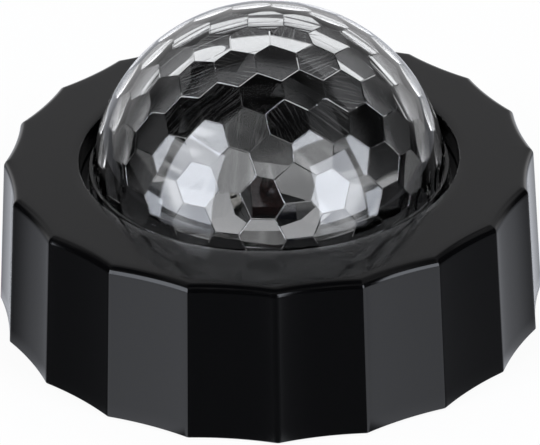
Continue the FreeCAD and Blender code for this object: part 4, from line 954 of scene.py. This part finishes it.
def make_sky():
    """A white studio. Matt surfaces get even light. Gloss and clear plastic get a tall soft panel
    at each side of the camera, the white table under them, a pale wall behind the object, and
    cards and strips overhead."""
    world = bpy.data.worlds.new("studio")
    bpy.context.scene.world = world
    world.use_nodes = True
    graph = Graph(world.node_tree)
    graph.tree.nodes.clear()

    def background(colour, strength):
        return graph.add("ShaderNodeBackground", {}, {
            "Color": colour, "Strength": strength})["Background"]

    ray = graph.add("ShaderNodeLightPath")
    through = ray["Is Transmission Ray"]
    straight = ray["Transmission Depth"] < 0.5
    once = (ray["Transmission Depth"] > 0.5) * (ray["Transmission Depth"] < 2.5)
    unscattered = ray["Diffuse Depth"] < 0.5
    direction = graph.add("ShaderNodeTexCoord")["Generated"]
    x, y, z = graph.parts_of(direction)
    side = graph.math("ARCTAN2", x, -y) * (180.0 / math.pi)
    turn = abs(side)
    rise = graph.math("ARCSINE", z) * (180.0 / math.pi)
    facet_lift = once * graph.fade(turn, 84.0, 106.0)

    table = 0.08 + 0.06 * graph.fade(side, 20.0, 40.0) + 0.25 * graph.fade(turn, 106.0, 126.0)
    table = table + 0.36 * graph.fade(turn, 136.0, 154.0)
    table = table + graph.window(turn, 34.5, 71.0, 3.0) * graph.fade(side, -20.0, 20.0, 1.0, 0.82)
    table = table * (1.0 + 1.4 * facet_lift)

    patches = graph.add("ShaderNodeTexVoronoi", {"feature": "F1"}, {
        "Vector": direction, "Scale": 2.6, "Randomness": 0.9})["Color"]
    card = graph.fade(graph.parts_of(patches)[0], 0.50, 0.53) * graph.fade(rise, 36.0, 42.0)
    card = card * graph.fade(rise, 62.0, 74.0, 1.0, 0.1)
    lines = graph.add("ShaderNodeTexNoise", {"noise_dimensions": "1D"}, {
        "W": side * 0.11 + rise * 0.03, "Detail": 1.0})[0]
    strip = graph.fade(lines, 0.55, 0.62) * graph.window(rise, 41.0, 60.0, 5.0)
    wall = 0.50 * graph.fade(rise, 4.0, 20.0, 1.0, 0.0)
    wall = wall + 0.37 * graph.fade(rise, 33.0, 46.0, 1.0, 0.0)
    wall = wall * graph.fade(turn, 112.0, 135.0)
    side_wall = graph.fade(turn, 84.0, 100.0) * graph.fade(rise, 24.0, 34.0, 1.0, 0.0)
    room = 0.02 + (0.12 + 0.25 * through) * card + wall + 0.22 * through * side_wall
    room = (room + (0.30 + 0.25 * through) * strip) * (1.0 + 0.9 * facet_lift)

    panels = [graph.window(side, left, right, 0.6) * graph.window(rise, low, high, 0.6)
              for left, right, low, high in (LEFT_PANEL, RIGHT_PANEL)]
    lamp = (panels[0] + panels[1]) * (0.8 + 2.4 * straight + 5.6 * once)
    tinted = graph.vector(*[lamp * share for share in PANEL_TINT])
    above = graph.add("ShaderNodeVectorMath", {"operation": "ADD"}, {
        0: graph.vector(room, room, room * 1.02), 1: tinted})["Vector"]
    below = graph.vector(table * 0.97, table, table * 1.08)
    studio = background(graph.blend(graph.fade(rise, -7.6, -6.8), below, above), 1.0)

    polished = graph.math("MAXIMUM", ray["Is Glossy Ray"], through) * unscattered
    lit = graph.add("ShaderNodeMixShader", {}, {
        0: polished, 1: background(rgb(1, 1, 1), 0.6), 2: studio})["Shader"]
    paper = through * graph.fade(rise, -9.0, -6.0, 1.0, 0.0) * unscattered
    seen = graph.math("MAXIMUM", ray["Is Camera Ray"], paper)
    final = graph.add("ShaderNodeMixShader", {}, {
        0: seen, 1: lit, 2: background(rgb(1, 1, 1), 1.0)})["Shader"]
    graph.add("ShaderNodeOutputWorld", {}, {"Surface": final})


def soft_lamp(name, extent, radiance, only_on=None):
    """An upright rectangular soft lamp of an extent round the dome. A lamp for one piece gives
    that piece its reflections, and the others light every matt surface."""
    left, right, low, high = extent
    width = 2.0 * LAMP_DISTANCE * math.tan(math.radians(right - left) / 2.0)
    foot = LAMP_DISTANCE * math.tan(math.radians(low))
    head = LAMP_DISTANCE * math.tan(math.radians(high))
    lamp = bpy.data.lights.new(name, "AREA")
    lamp.shape = "RECTANGLE"
    lamp.size = width
    lamp.size_y = head - foot
    lamp.color = PANEL_TINT
    lamp.energy = radiance * math.pi * width * (head - foot)
    item = placed(name, lamp)
    bearing = math.radians((left + right) / 2.0 - 90.0)
    away = Vector((math.cos(bearing), math.sin(bearing), 0.0))
    item.location = away * LAMP_DISTANCE + Vector((0.0, 0.0, LAMP_EYE + (foot + head) / 2.0))
    item.rotation_euler = away.to_track_quat("Z", "Y").to_euler()
    item.visible_camera = False
    item.visible_transmission = False
    item.visible_glossy = only_on is not None
    item.visible_diffuse = only_on is None
    if only_on is not None:
        lit = bpy.data.collections.new(name + "_lights")
        lit.objects.link(only_on)
        item.light_linking.receiver_collection = lit
    return item


def make_camera():
    """A long lens at the photo's angle, aimed a little below the dome and rolled by a degree."""
    camera = bpy.data.cameras.new("camera")
    camera.lens = 209.5
    camera.sensor_width = 36.0
    camera.clip_start = 0.05
    camera.clip_end = 20.0
    item = placed("camera", camera)
    distance, rise = 0.7556, math.radians(31.6)
    dip, roll = math.radians(30.35), math.radians(-0.92)
    place = Vector((0.0, -distance * math.cos(rise), distance * math.sin(rise) + 0.0005))
    look = Vector((0.0, math.cos(dip), -math.sin(dip)))
    right = Vector((1.0, 0.0, 0.0))
    up = right.cross(look)
    side = right * math.cos(roll) + up * math.sin(roll)
    over = up * math.cos(roll) - right * math.sin(roll)
    aim = Matrix((side, over, -look)).transposed().to_4x4()
    item.matrix_world = (Matrix.Rotation(math.radians(-0.87), 4, "Z")
                         @ Matrix.Translation(place) @ aim)
    bpy.context.scene.camera = item


# Dressing the scene

make_camera()
make_floor()
make_sky()
bpy.context.scene.view_settings.view_transform = "Standard"

make_drum()
dome = make_dome()
soft_lamp("left_fill", LEFT_FILL, 7.0)
soft_lamp("right_fill", RIGHT_FILL, 7.0)
soft_lamp("left_panel", LEFT_PANEL, 2.0, dome)
soft_lamp("right_panel", RIGHT_PANEL, 2.0, dome)
make_dish()

# The nodes that keep their own shape: finish, round of the edges in millimetres, and names
EASED = [
    (SATIN_BLACK, 0.15, "base_cover battery_door chassis switch_knob"),
    (DECK_BLACK, 0.12, "gear_deck clamp_ring"), (DECK_BLACK, 0.0, "dome_carrier"),
    (RUBBER, 0.4, "rubber_feet"),
    (NYLON, 0.15, "roller_a roller_b roller_c"), (NYLON, 0.0, "drive_pinion"),
    (NICKEL, 0.1, "roller_pins motor_shaft slide_switch"), (MOTOR_METAL, 0.2, "gearmotor"),
    (NICKEL, 0.05, "plus_contacts minus_contacts"), (ALUMINIUM, 0.1, "heat_spreader"),
    (ALUMINIUM, 0.3, "smoothing_capacitor"), (BOARD_BLACK, 0.05, "led_board"),
    (BOARD_GREEN, 0.05, "control_board"), (LED_RED, 0.05, "led_red"), (LED_GREEN, 0.05, "led_green"),
    (LED_BLUE, 0.05, "led_blue"), (CHIP_BLACK, 0.1, "driver_chip"),
    (HEADER_WHITE, 0.1, "board_headers"), (CELL_WRAP, 0.3, "aa_cells"),
]
for finish, edge, nodes in EASED:
    for node in nodes.split():
        eased(node, finish, edge)
for node in ("battery_leads", "motor_leads", "led_leads"):
    two_leads(node)
for node in ("base_screws", "chassis_screws", "clamp_screws", "deck_screws", "control_screws"):
    make_screws(node, BLACK_STEEL)
for node in ("motor_screws", "board_screws"):
    make_screws(node, NICKEL)
make_thumb_ribs()

bpy.context.view_layer.update()
